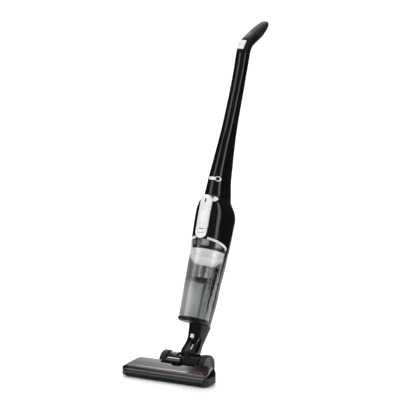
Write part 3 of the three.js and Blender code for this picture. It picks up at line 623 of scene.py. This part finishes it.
# badge on the shaft: a plain pill and ring
badge = {"z": 588, "pillX": -2, "pillHalf": 13, "pillDeep": 5, "lift": 0.4, "ringRadius": 8, "ringWidth": 2.4,
         "ringX": 16.5}


def surfacePatch(outline, sections, rows=14, columns=14, lift=0.0):
    # a sheet that follows a lofted front; outline gives left, right and height for a share from 0 to 1
    bm = bmesh.new()
    bmesh.ops.create_grid(bm, x_segments=columns, y_segments=rows, size=1)
    for vert in bm.verts:
        left, right, z = outline((vert.co.y + 1) / 2)
        x = left + (right - left) * (vert.co.x + 1) / 2
        vert.co = (x, frontOf(sections, x, z) - lift, z)
    faceOutwards(bm)
    faceToward(bm, (0, -1, 0))
    return bm


def pillOutline(x, z, halfWidth, halfHeight):
    radius = min(halfWidth, halfHeight)

    def outline(share):
        angle = math.pi * (share - 0.5)
        up = halfHeight * math.sin(angle)
        side = abs(up) - (halfHeight - radius)
        reach = halfWidth - radius + math.sqrt(max(0.0, radius ** 2 - max(0.0, side) ** 2))
        return x - reach, x + reach, z + up
    return outline


def buildBadge():
    pill = surfacePatch(pillOutline(badge["pillX"], badge["z"], badge["pillHalf"], badge["pillDeep"]),
                        shaft["sections"], lift=badge["lift"])
    makePiece(pill, "BadgePill", wall=0.3, rounding=0.1, body="stick", slot="silver_paint")
    ring = bmesh.new()
    loops = []
    for radius in (badge["ringRadius"], badge["ringRadius"] - badge["ringWidth"]):
        loop = bmesh.ops.create_circle(ring, segments=48, radius=radius)["verts"]
        for vert in loop:
            x, z = badge["ringX"] + vert.co.x, badge["z"] + vert.co.y
            vert.co = (x, frontOf(shaft["sections"], x, z) - badge["lift"] - 0.1, z)
        loops += list({edge for vert in loop for edge in vert.link_edges})
    bmesh.ops.bridge_loops(ring, edges=loops)
    faceToward(ring, (0, -1, 0))
    makePiece(ring, "BadgeRing", wall=0.3, rounding=0.1, body="stick", slot="silver_paint")


buildBadge()


# handle, slider and grip
handle = {
    "rings": [(0, 1010.3, -36, 21.2, 21.5, 0), (1, 1028, -34.5, 21, 21.5, 0.2),
              (2, 1043, -29.5, 20.5, 21, 0.45), (3, 1060, -17.5, 19.5, 20, 0.72),
              (4, 1079, 2, 19.5, 20, 0.82)],
    "gripRings": [(0, 1079.25, 2.25, 19.5, 20, 0.82), (1, 1101, 26, 19.5, 20, 0.82),
                  (2, 1120, 45, 17.8, 18, 0.78), (3, 1135, 59.5, 15.5, 14.8, 0.78),
                  (4, 1146, 70.5, 12, 10.5, 0.8), (5, 1152, 76.5, 6.5, 5.5, 0.8)],
    "sliderTilt": 0.42, "sliderAt": (0, -52.17, 1042.56)}


def loftRings(rows, steps, squareness, count=72):
    bm = bmesh.new()
    rings = []
    spans = len(rows) - 1
    for i in range(spans * steps + 1):
        _, z, y, halfWidth, halfDepth, tilt = curveRow(rows, i / steps)
        rings.append(addRing(bm, z, y, halfWidth, halfDepth, tilt, squareness, count))
    bridgeRings(bm, rings)
    closeEnds(bm)
    return bm


def onSlider(bm):
    # the slider's frame: z runs along the bend, -y stands out of it
    bm.transform(Matrix.Translation(handle["sliderAt"]) @ Matrix.Rotation(-handle["sliderTilt"], 4, "X"))
    return bm


def buildHandle():
    core = carve(loftRings(handle["rings"], 7, 2.4), onSlider(boxOf((-10.4, -20, -21.6), (10.4, 5.2, 21.6))))
    makePiece(core, "HandleCore", ["handle_core"], rounding=0.5, sharpDeg=50, finish=mattBlack)
    plate = onSlider(boxOf((-10, -1.6, -21), (10, 4.2, 13)))
    makePiece(plate, "PowerSlider", ["power_slider"], rounding=1.2)
    for k in range(3):
        ridge = onSlider(boxOf((-6, -2.3, -8 + 4 * k), (6, -1.4, -6.6 + 4 * k)))
        makePiece(ridge, f"SliderRidge{k}", rounding=0.3, body="slider", slot="silver_paint")
    grip = loftRings(handle["gripRings"], 8, 2.3)
    makePiece(grip, "GripSleeve", ["grip_sleeve"], rounding=0.8, sharpDeg=60)


buildHandle()
print("shaft and handle built")


# pod
pod = {
    "sections": [(350, 53, -81, 61.5), (400, 55, -83, 61.5), (440, 55.5, -86.5, 62), (480, 55.5, -88, 61),
                 (500, 52, -88, 52), (515, 46, -86.5, 40), (527, 39.5, -81, 33), (535, 36, -76, 31)],
    "split": -12, "seam": 0.3, "wall": 2.6,
    "grilleLow": (-25, 48, 424), "grilleHigh": (25, 70, 478), "socketZ": 497}


def buildPod():
    gap = pod["seam"]
    for name, node, y, facing in (("PodFront", "pod_front", pod["split"], 1),
                                  ("PodRear", "pod_rear", pod["split"] + gap, -1)):
        hollow = stretched(pod["sections"], 4, 4, pod["wall"])
        shell = carve(loftSolid(pod["sections"], 6), loftSolid(hollow, 6))
        if node == "pod_rear":
            shell = carve(shell, boxOf(pod["grilleLow"], pod["grilleHigh"]))
            shell = carve(shell, rodOf(7.3, (0, 30, pod["socketZ"]), (0, 75, pod["socketZ"]), "Y"))
        shell = carve(shell, sideBlock(y, facing, 200, 700))
        shell = carve(shell, seamBlock(gap, above=False))
        makePiece(shell, name, [node], rounding=0.4, sharpDeg=35)
    bars = boxOf((-24.7, 53, 424.3), (24.7, 55.6, 477.7))
    for i in range(9):
        z = 429 + i * 5.5
        bars = carve(bars, boxOf((-21, 50, z - 1.3), (21, 60, z + 1.3)))
    makePiece(bars, "ExhaustGrille", ["exhaust_grille"], rounding=0.35)
    socket = rodOf(7, (0, 38, pod["socketZ"]), (0, 51.5, pod["socketZ"]), "Y")
    socket = carve(socket, rodOf(4.2, (0, 41, pod["socketZ"]), (0, 60, pod["socketZ"]), "Y"))
    makePiece(socket, "ChargingSocket", ["charging_socket"], rounding=0.4)


buildPod()


# silver panel on the pod, with its two wings and the release button
panel = {
    "sections": [(380, 55, -83.2, 61.5), (400, 55, -84, 61.5), (440, 55.5, -86.5, 62),
                 (480, 55.5, -88, 61), (520, 54, -89, 50), (560, 50, -88, 40)],
    "half": 20, "top": 531, "bottom": 391, "buttonTop": 427, "lift": 4.2, "wingLift": 2.6,
    "buttonLift": 4.4, "buttonFoot": 2.7, "gap": 0.3}


def stadiumSlab():
    # the panel's outline as a closed block
    half = panel["half"]
    block = boxOf((-half, -130, panel["bottom"] + panel["half"]), (half, -40, panel["top"] - panel["half"]))
    for z in (panel["bottom"] + panel["half"], panel["top"] - panel["half"]):
        block = carve(block, rodOf(half, (0, -130, z), (0, -40, z), "Y", 96), "UNION")
    return block


def buildPanel():
    gap = panel["gap"]
    crown = loftSolid(panel["sections"], 6, grow=panel["lift"])
    crown = carve(crown, loftSolid(stretched(pod["sections"], 0, 2), 6, grow=gap))
    crown = carve(crown, boxOf((-90, -110, 300), (90, 110, panel["buttonTop"] + gap)))
    plate = carve(crown, stadiumSlab(), "INTERSECT")
    plate = carve(plate, boxOf((-2.2, -110, 505), (2.2, -91.4, 517)))
    makePiece(plate, "HandlePanel", ["handle_panel"], rounding=1.3, sharpDeg=50)
    wing = loftSolid(stretched(pod["sections"], 0, 3), 6, grow=panel["wingLift"])
    wing = carve(wing, loftSolid(stretched(pod["sections"], 0, 6), 6, grow=gap))
    bar = boxOf((-22.5, -120, 512.5), (22.5, -30, 529.5))
    for x in (-22.5, 22.5):
        bar = carve(bar, rodOf(8.5, (x, -120, 521), (x, -30, 521), "Y", 64), "UNION")
    wing = carve(wing, bar, "INTERSECT")
    wing = carve(wing, boxOf((-19, -130, 480), (19, -40, 560)))
    makePiece(wing, "PanelWings", rounding=0.8, body="stick", slot="silver_paint", sharpDeg=45)
    button = carve(loftSolid(panel["sections"], 6, grow=panel["buttonLift"]),
                   loftSolid(panel["sections"], 6, grow=panel["buttonFoot"]))
    button = carve(button, stadiumSlab(), "INTERSECT")
    button = carve(button, boxOf((-90, -130, panel["buttonTop"] - gap), (90, 130, 600)))
    makePiece(button, "ReleaseButton", ["release_button"], rounding=0.5, sharpDeg=50)


buildPanel()


# small marks on the panel: a dark slot, and embossed outlines, a dash and a thumb curve drawn as thin bands of
# painted shade
marks = {"lift": 4.55, "darkLift": 4.65, "slot": (-1, 512, 2.1, 6.5), "outline": (-3, 490, 5.5, 9.5, 0.9),
         "button": (0, 432, 9.5, 9, 0.9), "dash": (0, 421, 9, 1.5), "curve": (0, 411, 9, 4.5, 1.3)}


def markRing(x, z, halfWidth, halfHeight, line, turnFrom=0.0, turnTo=math.tau, lift=marks["lift"]):
    # a thin band in a rounded oval, laid on the panel's front
    bm = bmesh.new()
    count = 48
    rows = []
    for inset in (0.0, line):
        row = []
        for k in range(count + 1):
            angle = turnFrom + (turnTo - turnFrom) * k / count
            c, t = math.cos(angle), math.sin(angle)
            px = x + (halfWidth - inset) * math.copysign(abs(c) ** 0.7, c)
            pz = z + (halfHeight - inset) * math.copysign(abs(t) ** 0.7, t)
            row.append(bm.verts.new((px, frontOf(panel["sections"], px, pz) - lift, pz)))
        rows.append([bm.edges.new(pair) for pair in zip(row, row[1:])])
    bmesh.ops.bridge_loops(bm, edges=rows[0] + rows[1])
    bmesh.ops.remove_doubles(bm, verts=bm.verts, dist=0.01)
    faceToward(bm, (0, -1, 0))
    return bm


def buildMarks():
    slot = surfacePatch(pillOutline(*marks["slot"]), panel["sections"], lift=4.6)
    makePiece(slot, "PanelSlotLens", wall=0.3, rounding=0.0, body="stick", slot="gloss_black_plastic",
              finish=mattBlack)
    makePiece(markRing(*marks["outline"]), "PanelOutline", wall=0.25, rounding=0.0, body="stick",
              slot="silver_paint", finish=shade)
    makePiece(markRing(*marks["button"], 0.0, math.pi), "ButtonOutline", wall=0.25, rounding=0.0,
              body="stick", slot="silver_paint", finish=shade)
    dash = surfacePatch(pillOutline(*marks["dash"]), panel["sections"], lift=marks["darkLift"])
    curve = markRing(*marks["curve"], math.pi, math.tau, lift=marks["darkLift"])
    for mark, name in ((dash, "ButtonDash"), (curve, "ButtonCurve")):
        makePiece(mark, name, wall=0.2, rounding=0.0, body="release_body", slot="silver_paint",
                  finish=darkShade)


buildMarks()
print("pod and panel built")


# back shell, behind the container
container = {"front": -80, "bottom": 140, "bottomRadius": 49.5, "topRadius": 57.5, "taperEnd": 375,
             "wall": 2.2, "cycloneY": -23.15}
backShell = {"sections": [(127.4, 34, -80, 58), (158, 40, -80, 55), (204, 46, -80, 55), (259, 47.5, -80, 56),
                          (318, 51, -80, 60), (410, 53.5, -80, 61.5)]}


def containerRadius(z):
    share = (z - container["bottom"]) / (container["taperEnd"] - container["bottom"])
    return container["bottomRadius"] + share * (container["topRadius"] - container["bottomRadius"])


def containerRows(bottom, top, grow=0.0):
    rows = []
    for z in (bottom, (bottom + top) / 2, top):
        radius = containerRadius(z)
        rows.append((z, radius + grow, container["front"] - grow, container["front"] + 2 * radius + grow))
    return rows


def buildBackShell():
    shell = carve(loftSolid(backShell["sections"], 6), loftSolid(containerRows(110, 430, 0.5), 3, 2.0, 96))
    shell = carve(shell, boxOf((-200, -300, 0), (200, 4, 600)))
    shell = carve(shell, seamBlock(-0.2))
    makePiece(shell, "BackShell", ["back_shell"], rounding=0.4, sharpDeg=35)


buildBackShell()


# clear container and what stands in it
def turnedAbout(bm, y, angle):
    # turns a block about the upright axis and moves it back by y
    bmesh.ops.rotate(bm, verts=bm.verts, cent=(0, 0, 0), matrix=Matrix.Rotation(angle, 3, "Z"))
    bmesh.ops.translate(bm, verts=bm.verts, vec=(0, y, 0))
    return bm


def buildContainer():
    bm = loftSections(containerRows(container["bottom"], 420), 12, 2.0, 128)
    keepBehind(bm, (0, 0, seam["height"] - 0.5), Vector((0, seam["slope"], 1)).normalized())
    faceOutwards(bm)
    makePiece(bm, "ContainerShell", ["container_shell"], wall=container["wall"], rounding=0.5)
    y = container["cycloneY"]
    ring = spinProfile([(46, 338), (52.6, 338), (53.6, 339.2), (53.6, 342), (52.9, 343), (52.9, 357),
                        (53.7, 358), (53.7, 361), (46, 361)], y, 128)
    makePiece(ring, "FilterRing", ["filter_ring"], rounding=0.4)
    cone = spinProfile([(52.6, 337.6), (50.8, 337.6), (46, 331), (37, 323), (29, 317.5), (23, 314), (23, 312),
                        (25.5, 312), (31, 315), (39.5, 321), (48.5, 329.6), (52.2, 334)], y, 128)
    makePiece(cone, "CycloneCone", ["cyclone_cone"], rounding=0.3)
    shroud = spinProfile([(22.6, 274.6), (25, 274.6), (25, 311.6), (22.6, 311.6)], y, 96)
    for i in range(5):
        z = 279 + i * 6.6
        band = spinProfile([(20, z), (27, z), (27, z + 3.1), (20, z + 3.1)], y, 96)
        for k in range(4):
            keep = boxOf((-2.2, 15, z - 1), (2.2, 35, z + 5))
            band = carve(band, turnedAbout(keep, y, k * math.pi / 2 + 0.4))
        shroud = carve(shroud, band)
    makePiece(shroud, "MeshShroud", ["mesh_shroud"], rounding=0.0)
    skirt = spinProfile([(13, 264), (35, 260), (36, 262), (27, 274), (15.5, 274), (15.5, 366), (13.5, 366)],
                        y, 96)
    makePiece(skirt, "VortexSkirt", ["vortex_skirt"], rounding=0.4)
    frameBm = spinProfile([(47.4, 361.4), (50, 361.4), (50, 420), (47.4, 420)], y, 96)
    for k in range(6):
        window = boxOf((-14, 30, 372), (14, 60, 430))
        frameBm = carve(frameBm, turnedAbout(window, y, k * math.pi / 3 + 0.25))
    makePiece(carve(frameBm, seamBlock(-3)), "FilterFrame", ["filter_frame"], rounding=0.3)
    foam = rodOf(46, (0, y, 368.6), (0, y, 420), "Z", 96)
    makePiece(carve(foam, seamBlock(-4)), "FoamFilter", ["foam_filter"], rounding=0.5)


buildContainer()


liner = {"bottom": 142, "top": 343.5, "inset": 2.6, "thick": 0.7, "turn": 30.4, "edge": 9,
         "middle": -25.5, "rimTop": 0.6, "rimFoot": 7.5}


def buildLiner():
    # a frosted sheet just inside the cup, on its side away from the camera, left clear on the right
    whole = containerRows(liner["bottom"], liner["top"], -liner["inset"])
    hollow = containerRows(liner["bottom"], liner["top"], -liner["inset"] - liner["thick"])
    shell = carve(loftSolid(whole, 6, 2.0, 128), loftSolid(stretched(hollow, 2, 2), 6, 2.0, 128))
    turn = Matrix.Translation((0, liner["middle"], 0)) @ Matrix.Rotation(math.radians(liner["turn"]), 4, "Z")
    for low, high in (((-200, -200, 100), (200, 0, 400)), ((liner["edge"], -200, 100), (200, 200, 400))):
        block = boxOf(low, high)
        block.transform(turn)
        shell = carve(shell, block)
    makePiece(shell, "CupLiner", rounding=0.0, body="container", slot="clear_polycarbonate", finish=frosted)
    rim = loftSolid(containerRows(330, 420, 0.35), 8, 2.0, 128)
    rim = carve(rim, loftSolid(containerRows(320, 430, -2.4), 8, 2.0, 128))
    rim = carve(carve(rim, seamBlock(-liner["rimTop"])), seamBlock(-liner["rimFoot"], above=False))
    rim = carve(rim, boxOf((-90, 3.4, 300), (90, 90, 420)))
    rim = carve(rim, boxOf((-20.5, -120, 300), (20.5, -40, 420)))
    makePiece(rim, "CupRim", rounding=0.3, body="container", slot="clear_polycarbonate", finish=frosted)


buildLiner()


def buildFlap():
    y = container["front"] + container["bottomRadius"]
    radius = container["bottomRadius"] - 0.1
    cup = spinProfile([(0.0, 128.4), (radius - 6, 128.4), (radius, 133.9), (radius, 139.6),
                       (radius - 3, 139.6), (radius - 3, 133.4), (radius - 7, 131), (0.0, 131)], y, 128)
    cup = carve(cup, boxOf((-13.4, -82, 129.8), (13.4, -73, 140)))
    cup = carve(cup, boxOf((-20, 11.8, 133), (20, 19.8, 139.8)))
    makePiece(cup, "BottomFlap", ["bottom_flap"], rounding=0.5, finish=mattBlack)
    gasket = spinProfile([(41.4, 134.4), (44, 134.4), (44, 141.6), (41.4, 141.6)], y, 128)
    gasket = carve(gasket, boxOf((-16, 11.8, 136.8), (16, 19.8, 142.8)))
    makePiece(gasket, "FlapGasket", ["flap_gasket"], rounding=0.3)
    latch = spinProfile([(46.6, 134), (49.3, 134), (49.3, 139.4), (46.6, 139.4)], y, 128)
    for low, high in (((-90, -200, 100), (-13, 200, 200)), ((13, -200, 100), (90, 200, 200)),
                      ((-90, y, 100), (90, 200, 200))):
        latch = carve(latch, boxOf(low, high))
    makePiece(latch, "FlapLatch", ["flap_latch"], rounding=0.3)


buildFlap()
print("container built")


# neck
neck = {"sections": [(36, 29.5, -40, 24), (48, 28.3, -33, 27), (62, 26.5, -25, 31), (79, 26, -17.5, 39.5),
                     (100, 27.5, -19, 49), (127, 30, -22, 60)],
        "split": 8, "seam": 0.3, "wall": 2.6, "pivotY": -18.4, "pivotZ": -2.41}


def buildNeck():
    for name, node, y, facing in (("NeckFront", "neck_front", neck["split"], 1),
                                  ("NeckRear", "neck_rear", neck["split"] + neck["seam"], -1)):
        hollow = stretched(neck["sections"], 4, 4, neck["wall"])
        shell = carve(loftSolid(neck["sections"], 7), loftSolid(hollow, 7))
        shell = carve(shell, sideBlock(y, facing, 0, 300))
        if node == "neck_front":
            shell = carve(shell, boxOf((-6.3, -40, 81.7), (6.3, -5, 94.3)))
        makePiece(shell, name, [node], rounding=0.4, sharpDeg=35)
    makePiece(boxOf((-6, -20.2, 82), (6, -14.8, 94)), "NeckButton", ["neck_button"], rounding=1.0)
    mark = surfacePatch(pillOutline(13, 52, 1.5, 9), neck["sections"], lift=0.3)
    makePiece(mark, "NeckMark", wall=0.25, rounding=0.0, body="stick", slot="silver_paint")
    y, z = neck["pivotY"], neck["pivotZ"]
    collar = spinProfile([(19.4, 28.4), (25.2, 28.4), (26, 29.2), (26, 35.7), (19.4, 35.7)], y, 96)
    makePiece(collar, "NeckCollar", ["neck_collar"], rounding=0.3)
    barrel = rodOf(29, (-26.4, y, z), (26.4, y, z), "X", 96)
    yoke = carve(barrel, rodOf(19, (0, y, z), (0, y, 33.4), "Z", 96), "UNION")
    yoke = carve(yoke, rodOf(4.3, (-60, y, z), (60, y, z), "X"))
    yoke = carve(yoke, rodOf(12, (0, y, 7), (0, y, 60), "Z"))
    makePiece(yoke, "PivotYoke", ["pivot_yoke"], rounding=0.8)


buildNeck()
print("neck built")


# floor head
head = {
    "half": 153, "front": -112, "back": -39.5, "rearHalf": 100, "lip": 14, "capInner": 138.5, "corner": 16,
    "wall": 2.6, "gap": 0.3, "endRun": 50, "endRise": 41, "valleyFloor": 40, "valleyX": 16, "notchHalf": 62,
    "notchY": -57.5, "leftStretch": 1.6}
# the head's side view as y and height, from the foot of the front over the top to the foot of the back
headSide = [(-112, 5), (-112, 10), (-112, 14), (-111.9, 16), (-111.4, 20), (-110.2, 24), (-108.2, 28),
            (-105.2, 31.6), (-101, 34.6), (-96, 36.7), (-91, 38), (-83, 40.8), (-75, 43.6), (-66, 46.7),
            (-57, 49.5), (-53, 50.8), (-49, 51.9), (-45, 52.8), (-41.6, 53.5), (-39.6, 53.2), (-39.5, 52),
            (-39.5, 44), (-39.5, 30), (-39.5, 14), (-39.5, 5)]


def headPoint(share):
    # a point on the side view, with straight runs between its points cut fine
    at = share * (len(headSide) - 1)
    k = min(int(at), len(headSide) - 2)
    t = at - k
    return [a + (b - a) * t for a, b in zip(headSide[k], headSide[k + 1])]


def headFrontAt(x):
    into = max(0.0, abs(x) - (head["half"] - head["corner"]))
    return head["front"] + head["corner"] - math.sqrt(max(0.0, head["corner"] ** 2 - into ** 2))


def headBackAt(x):
    reach = abs(x)
    if reach <= head["rearHalf"]:
        return head["back"]
    if reach <= head["half"] - 9:
        return head["back"] - 6 * (reach - head["rearHalf"]) / (head["half"] - 9 - head["rearHalf"])
    over = (reach - (head["half"] - 9)) / 9
    return head["back"] - 6 - 13.5 * (1 - math.sqrt(max(0.0, 1 - over * over)))


def headTopAt(x):
    # the ends fall away in an arc
    over = max(0.0, abs(x) - (head["half"] - head["endRun"])) / head["endRun"]
    return head["lip"] + 4 + head["endRise"] * max(0.0, 1 - over ** 2.6) ** 0.52


def softMin(a, b, sharp=9):
    return (a ** -sharp + b ** -sharp) ** (-1 / sharp)


def valleyDrop(x, y, z):
    # the hollow in the deck that the neck comes down into
    if y < -70:
        return z
    half = 12 + 32 * min(1.0, max(0.0, (y + 66) / 26.5))
    side = half - abs(x - head["valleyX"])
    ahead = y + 67
    wide = min(head["notchHalf"] - abs(x - head["valleyX"]), y - head["notchY"])
    into = max(min(side, ahead), wide) / 3.5
    share = min(1.0, max(0.0, into + 0.5))
    share = share * share * (3 - 2 * share)
    return z + (min(z, head["valleyFloor"]) - z) * share


def headSkin():
    bm = bmesh.new()
    bmesh.ops.create_grid(bm, x_segments=240, y_segments=120, size=1)
    for vert in bm.verts:
        x = head["half"] * math.sin(vert.co.x * math.pi / 2) * 0.35 + head["half"] * vert.co.x * 0.65
        y, z = headPoint((vert.co.y + 1) / 2)
        y = min(max(y, headFrontAt(x)), headBackAt(x))
        if z > head["lip"]:
            z = softMin(z, max(headTopAt(x), head["lip"] + 0.01))
        z = valleyDrop(x, y, z)
        if x < -head["capInner"]:
            x = -head["capInner"] + (x + head["capInner"]) * head["leftStretch"]
        vert.co = (x, y, z)
    ends = [edge for edge in bm.edges if edge.is_boundary
            and all(abs(vert.co.x) > head["half"] - 0.01 for vert in edge.verts)]
    bmesh.ops.contextual_create(bm, geom=[e for e in ends if e.verts[0].co.x > 0])
    bmesh.ops.contextual_create(bm, geom=[e for e in ends if e.verts[0].co.x < 0])
    bmesh.ops.remove_doubles(bm, verts=bm.verts, dist=0.08)
    bmesh.ops.dissolve_degenerate(bm, edges=bm.edges, dist=0.05)
    bmesh.ops.recalc_face_normals(bm, faces=bm.faces)
    faceToward(bm, (0, 0, 1))
    return bm


def buildHeadSkin():
    gap, inner = head["gap"], head["capInner"]
    ends = [((inner, 0, 0), (1, 0, 0)), ((-inner, 0, 0), (-1, 0, 0))]
    overLip = ((0, 0, 14.3), (0, 0, -1))
    parts = {
        "HeadBase": ("head_base", [((0, 0, 14), (0, 0, 1)), *ends]),
        "HeadWindow": ("head_window", [overLip, ((0, -91.3, 0), (0, 1, 0)), *ends]),
        "HeadDeck": ("head_deck", [overLip, ((0, -91, 0), (0, -1, 0)), *ends]),
        "EndCapLeft": ("end_cap_left", [((-inner - gap, 0, 0), (1, 0, 0))]),
        "EndCapRight": ("end_cap_right", [((inner + gap, 0, 0), (-1, 0, 0))])}
    ownFinish = {"head_base": mattBlack, "head_deck": deckBlack}
    for name, (node, cuts) in parts.items():
        bm = headSkin()
        for point, normal in cuts:
            keepBehind(bm, point, normal)
        makePiece(bm, name, [node], place=headPlace, wall=head["wall"], rounding=0.6, sharpDeg=35,
                  even=False, finish=ownFinish.get(node))


buildHeadSkin()


def buildHeadTrim():
    # the red line along the front edge of the deck, with a small lens at its right end
    line = bmesh.new()
    bmesh.ops.create_grid(line, x_segments=60, y_segments=4, size=1)
    for vert in line.verts:
        x = 53 + 71 * vert.co.x
        y = -88.1 + 0.8 * vert.co.y
        vert.co = (x, y, 38 + (y + 91) * 0.35 + 0.25)
    faceOutwards(line)
    faceToward(line, (0, 0, 1))
    makePiece(line, "AccentStrip", ["accent_strip"], place=headPlace, wall=0.5, rounding=0.15)
    lens = bmesh.new()
    bmesh.ops.create_uvsphere(lens, u_segments=32, v_segments=16, radius=1)
    bmesh.ops.scale(lens, verts=lens.verts, vec=(4.2, 2.6, 1.3))
    bmesh.ops.translate(lens, verts=lens.verts, vec=(118, -86.4, 39.6))
    makePiece(lens, "AccentLens", place=headPlace, rounding=0, body="floor_head", slot="red_trim")


buildHeadTrim()


# wheels, drums and casters
# the bar numbers place a strip of painted highlight on the left drum cover
wheel = {"height": 37, "casterX": 60, "coverRadius": 36.9, "coverFoot": -20, "coverTop": 51,
         "coverInner": 5, "coverOuter": 58.5, "coverWall": 1.9, "highlightRadius": 37.3, "highlightFoot": 34,
         "highlightTop": 38.5}


def mirrored(profile, side):
    return [(side * x, radius) for x, radius in profile]


def buildWheels():
    z = wheel["height"]
    for side, word in ((-1, "left"), (1, "right")):
        title = word.capitalize()
        drum = [(27, 34.5), (27, 31.9), (55.5, 31.9), (55.5, 4.3), (58, 4.3), (58, 30), (57.2, 33.2),
                (54.5, 34.5)]
        turned = spinAcross(mirrored(drum, side), 0, z)
        makePiece(turned, f"Drum{title}", [f"drum_{word}"], place=wheelPlace, rounding=0.4, sharpDeg=30)
        disc = [(63, 4.3), (63, 32.8), (81, 32.8), (81, 27.5), (78.4, 26.4), (78.4, 17), (79.6, 15.6),
                (79.6, 9), (78, 7.5), (78, 4.3)]
        turned = spinAcross(mirrored(disc, side), 0, z)
        makePiece(turned, f"Wheel{title}", [f"wheel_{word}"], place=wheelPlace, rounding=0.5, sharpDeg=30,
                  finish=wheelGrey)
        tyre = [(62, 33.1), (62, 35.4), (63.6, 37), (80.4, 37), (82, 35.4), (82, 33.1)]
        tread = spinAcross(mirrored(tyre, side), 0, z, 144)
        makePiece(tread, f"Tyre{title}", [f"tyre_{word}"], place=wheelPlace, rounding=0.3, sharpDeg=30)
        roller = [(-5, 0.01), (-5, 5.4), (-4.4, 6), (4.4, 6), (5, 5.4), (5, 0.01)]
        caster = spinAcross(roller, -55.7, 6, 48)
        bmesh.ops.translate(caster, verts=caster.verts, vec=(wheel["casterX"] * side, 0, 0))
        makePiece(caster, f"Caster{title}", [f"caster_{word}"], place=headPlace, rounding=0.2)


def arcPatch(fromX, toX, radius, low, high, columns=24, rows=24):
    # a sheet around the axle, from one elevation to another, ahead of it
    bm = bmesh.new()
    bmesh.ops.create_grid(bm, x_segments=columns, y_segments=rows, size=1)
    for vert in bm.verts:
        x = fromX + (toX - fromX) * (vert.co.x + 1) / 2
        turn = math.radians(low + (high - low) * (vert.co.y + 1) / 2)
        vert.co = (x, -radius * math.cos(turn), wheel["height"] + radius * math.sin(turn))
    bmesh.ops.recalc_face_normals(bm, faces=bm.faces)
    faceToward(bm, (0, -1, 0))
    return bm


def buildDrumCovers():
    # shells in front of the drums, that reach in towards the neck; the left one carries a thin pale strip of
    # painted highlight
    inner, outer = wheel["coverInner"], wheel["coverOuter"]
    for name, fromX, toX, finish in (("DrumCoverLeft", -outer, -inner, None),
                                     ("DrumCoverRight", inner, outer, mattBlack)):
        cover = arcPatch(fromX, toX, wheel["coverRadius"], wheel["coverFoot"], wheel["coverTop"])
        makePiece(cover, name, place=wheelPlace, wall=wheel["coverWall"], rounding=0.8, body="floor_head",
                  slot="gloss_black_plastic", finish=finish)
    # a pale silver strip on the left cover: painted highlight where light glints along its glossy top
    bar = arcPatch(-52, -10, wheel["highlightRadius"], wheel["highlightFoot"], wheel["highlightTop"])
    makePiece(bar, "DrumPaintedHighlight", place=wheelPlace, wall=0.35, rounding=0.1, body="floor_head",
              slot="silver_paint")


buildDrumCovers()
buildWheels()
print("head built")
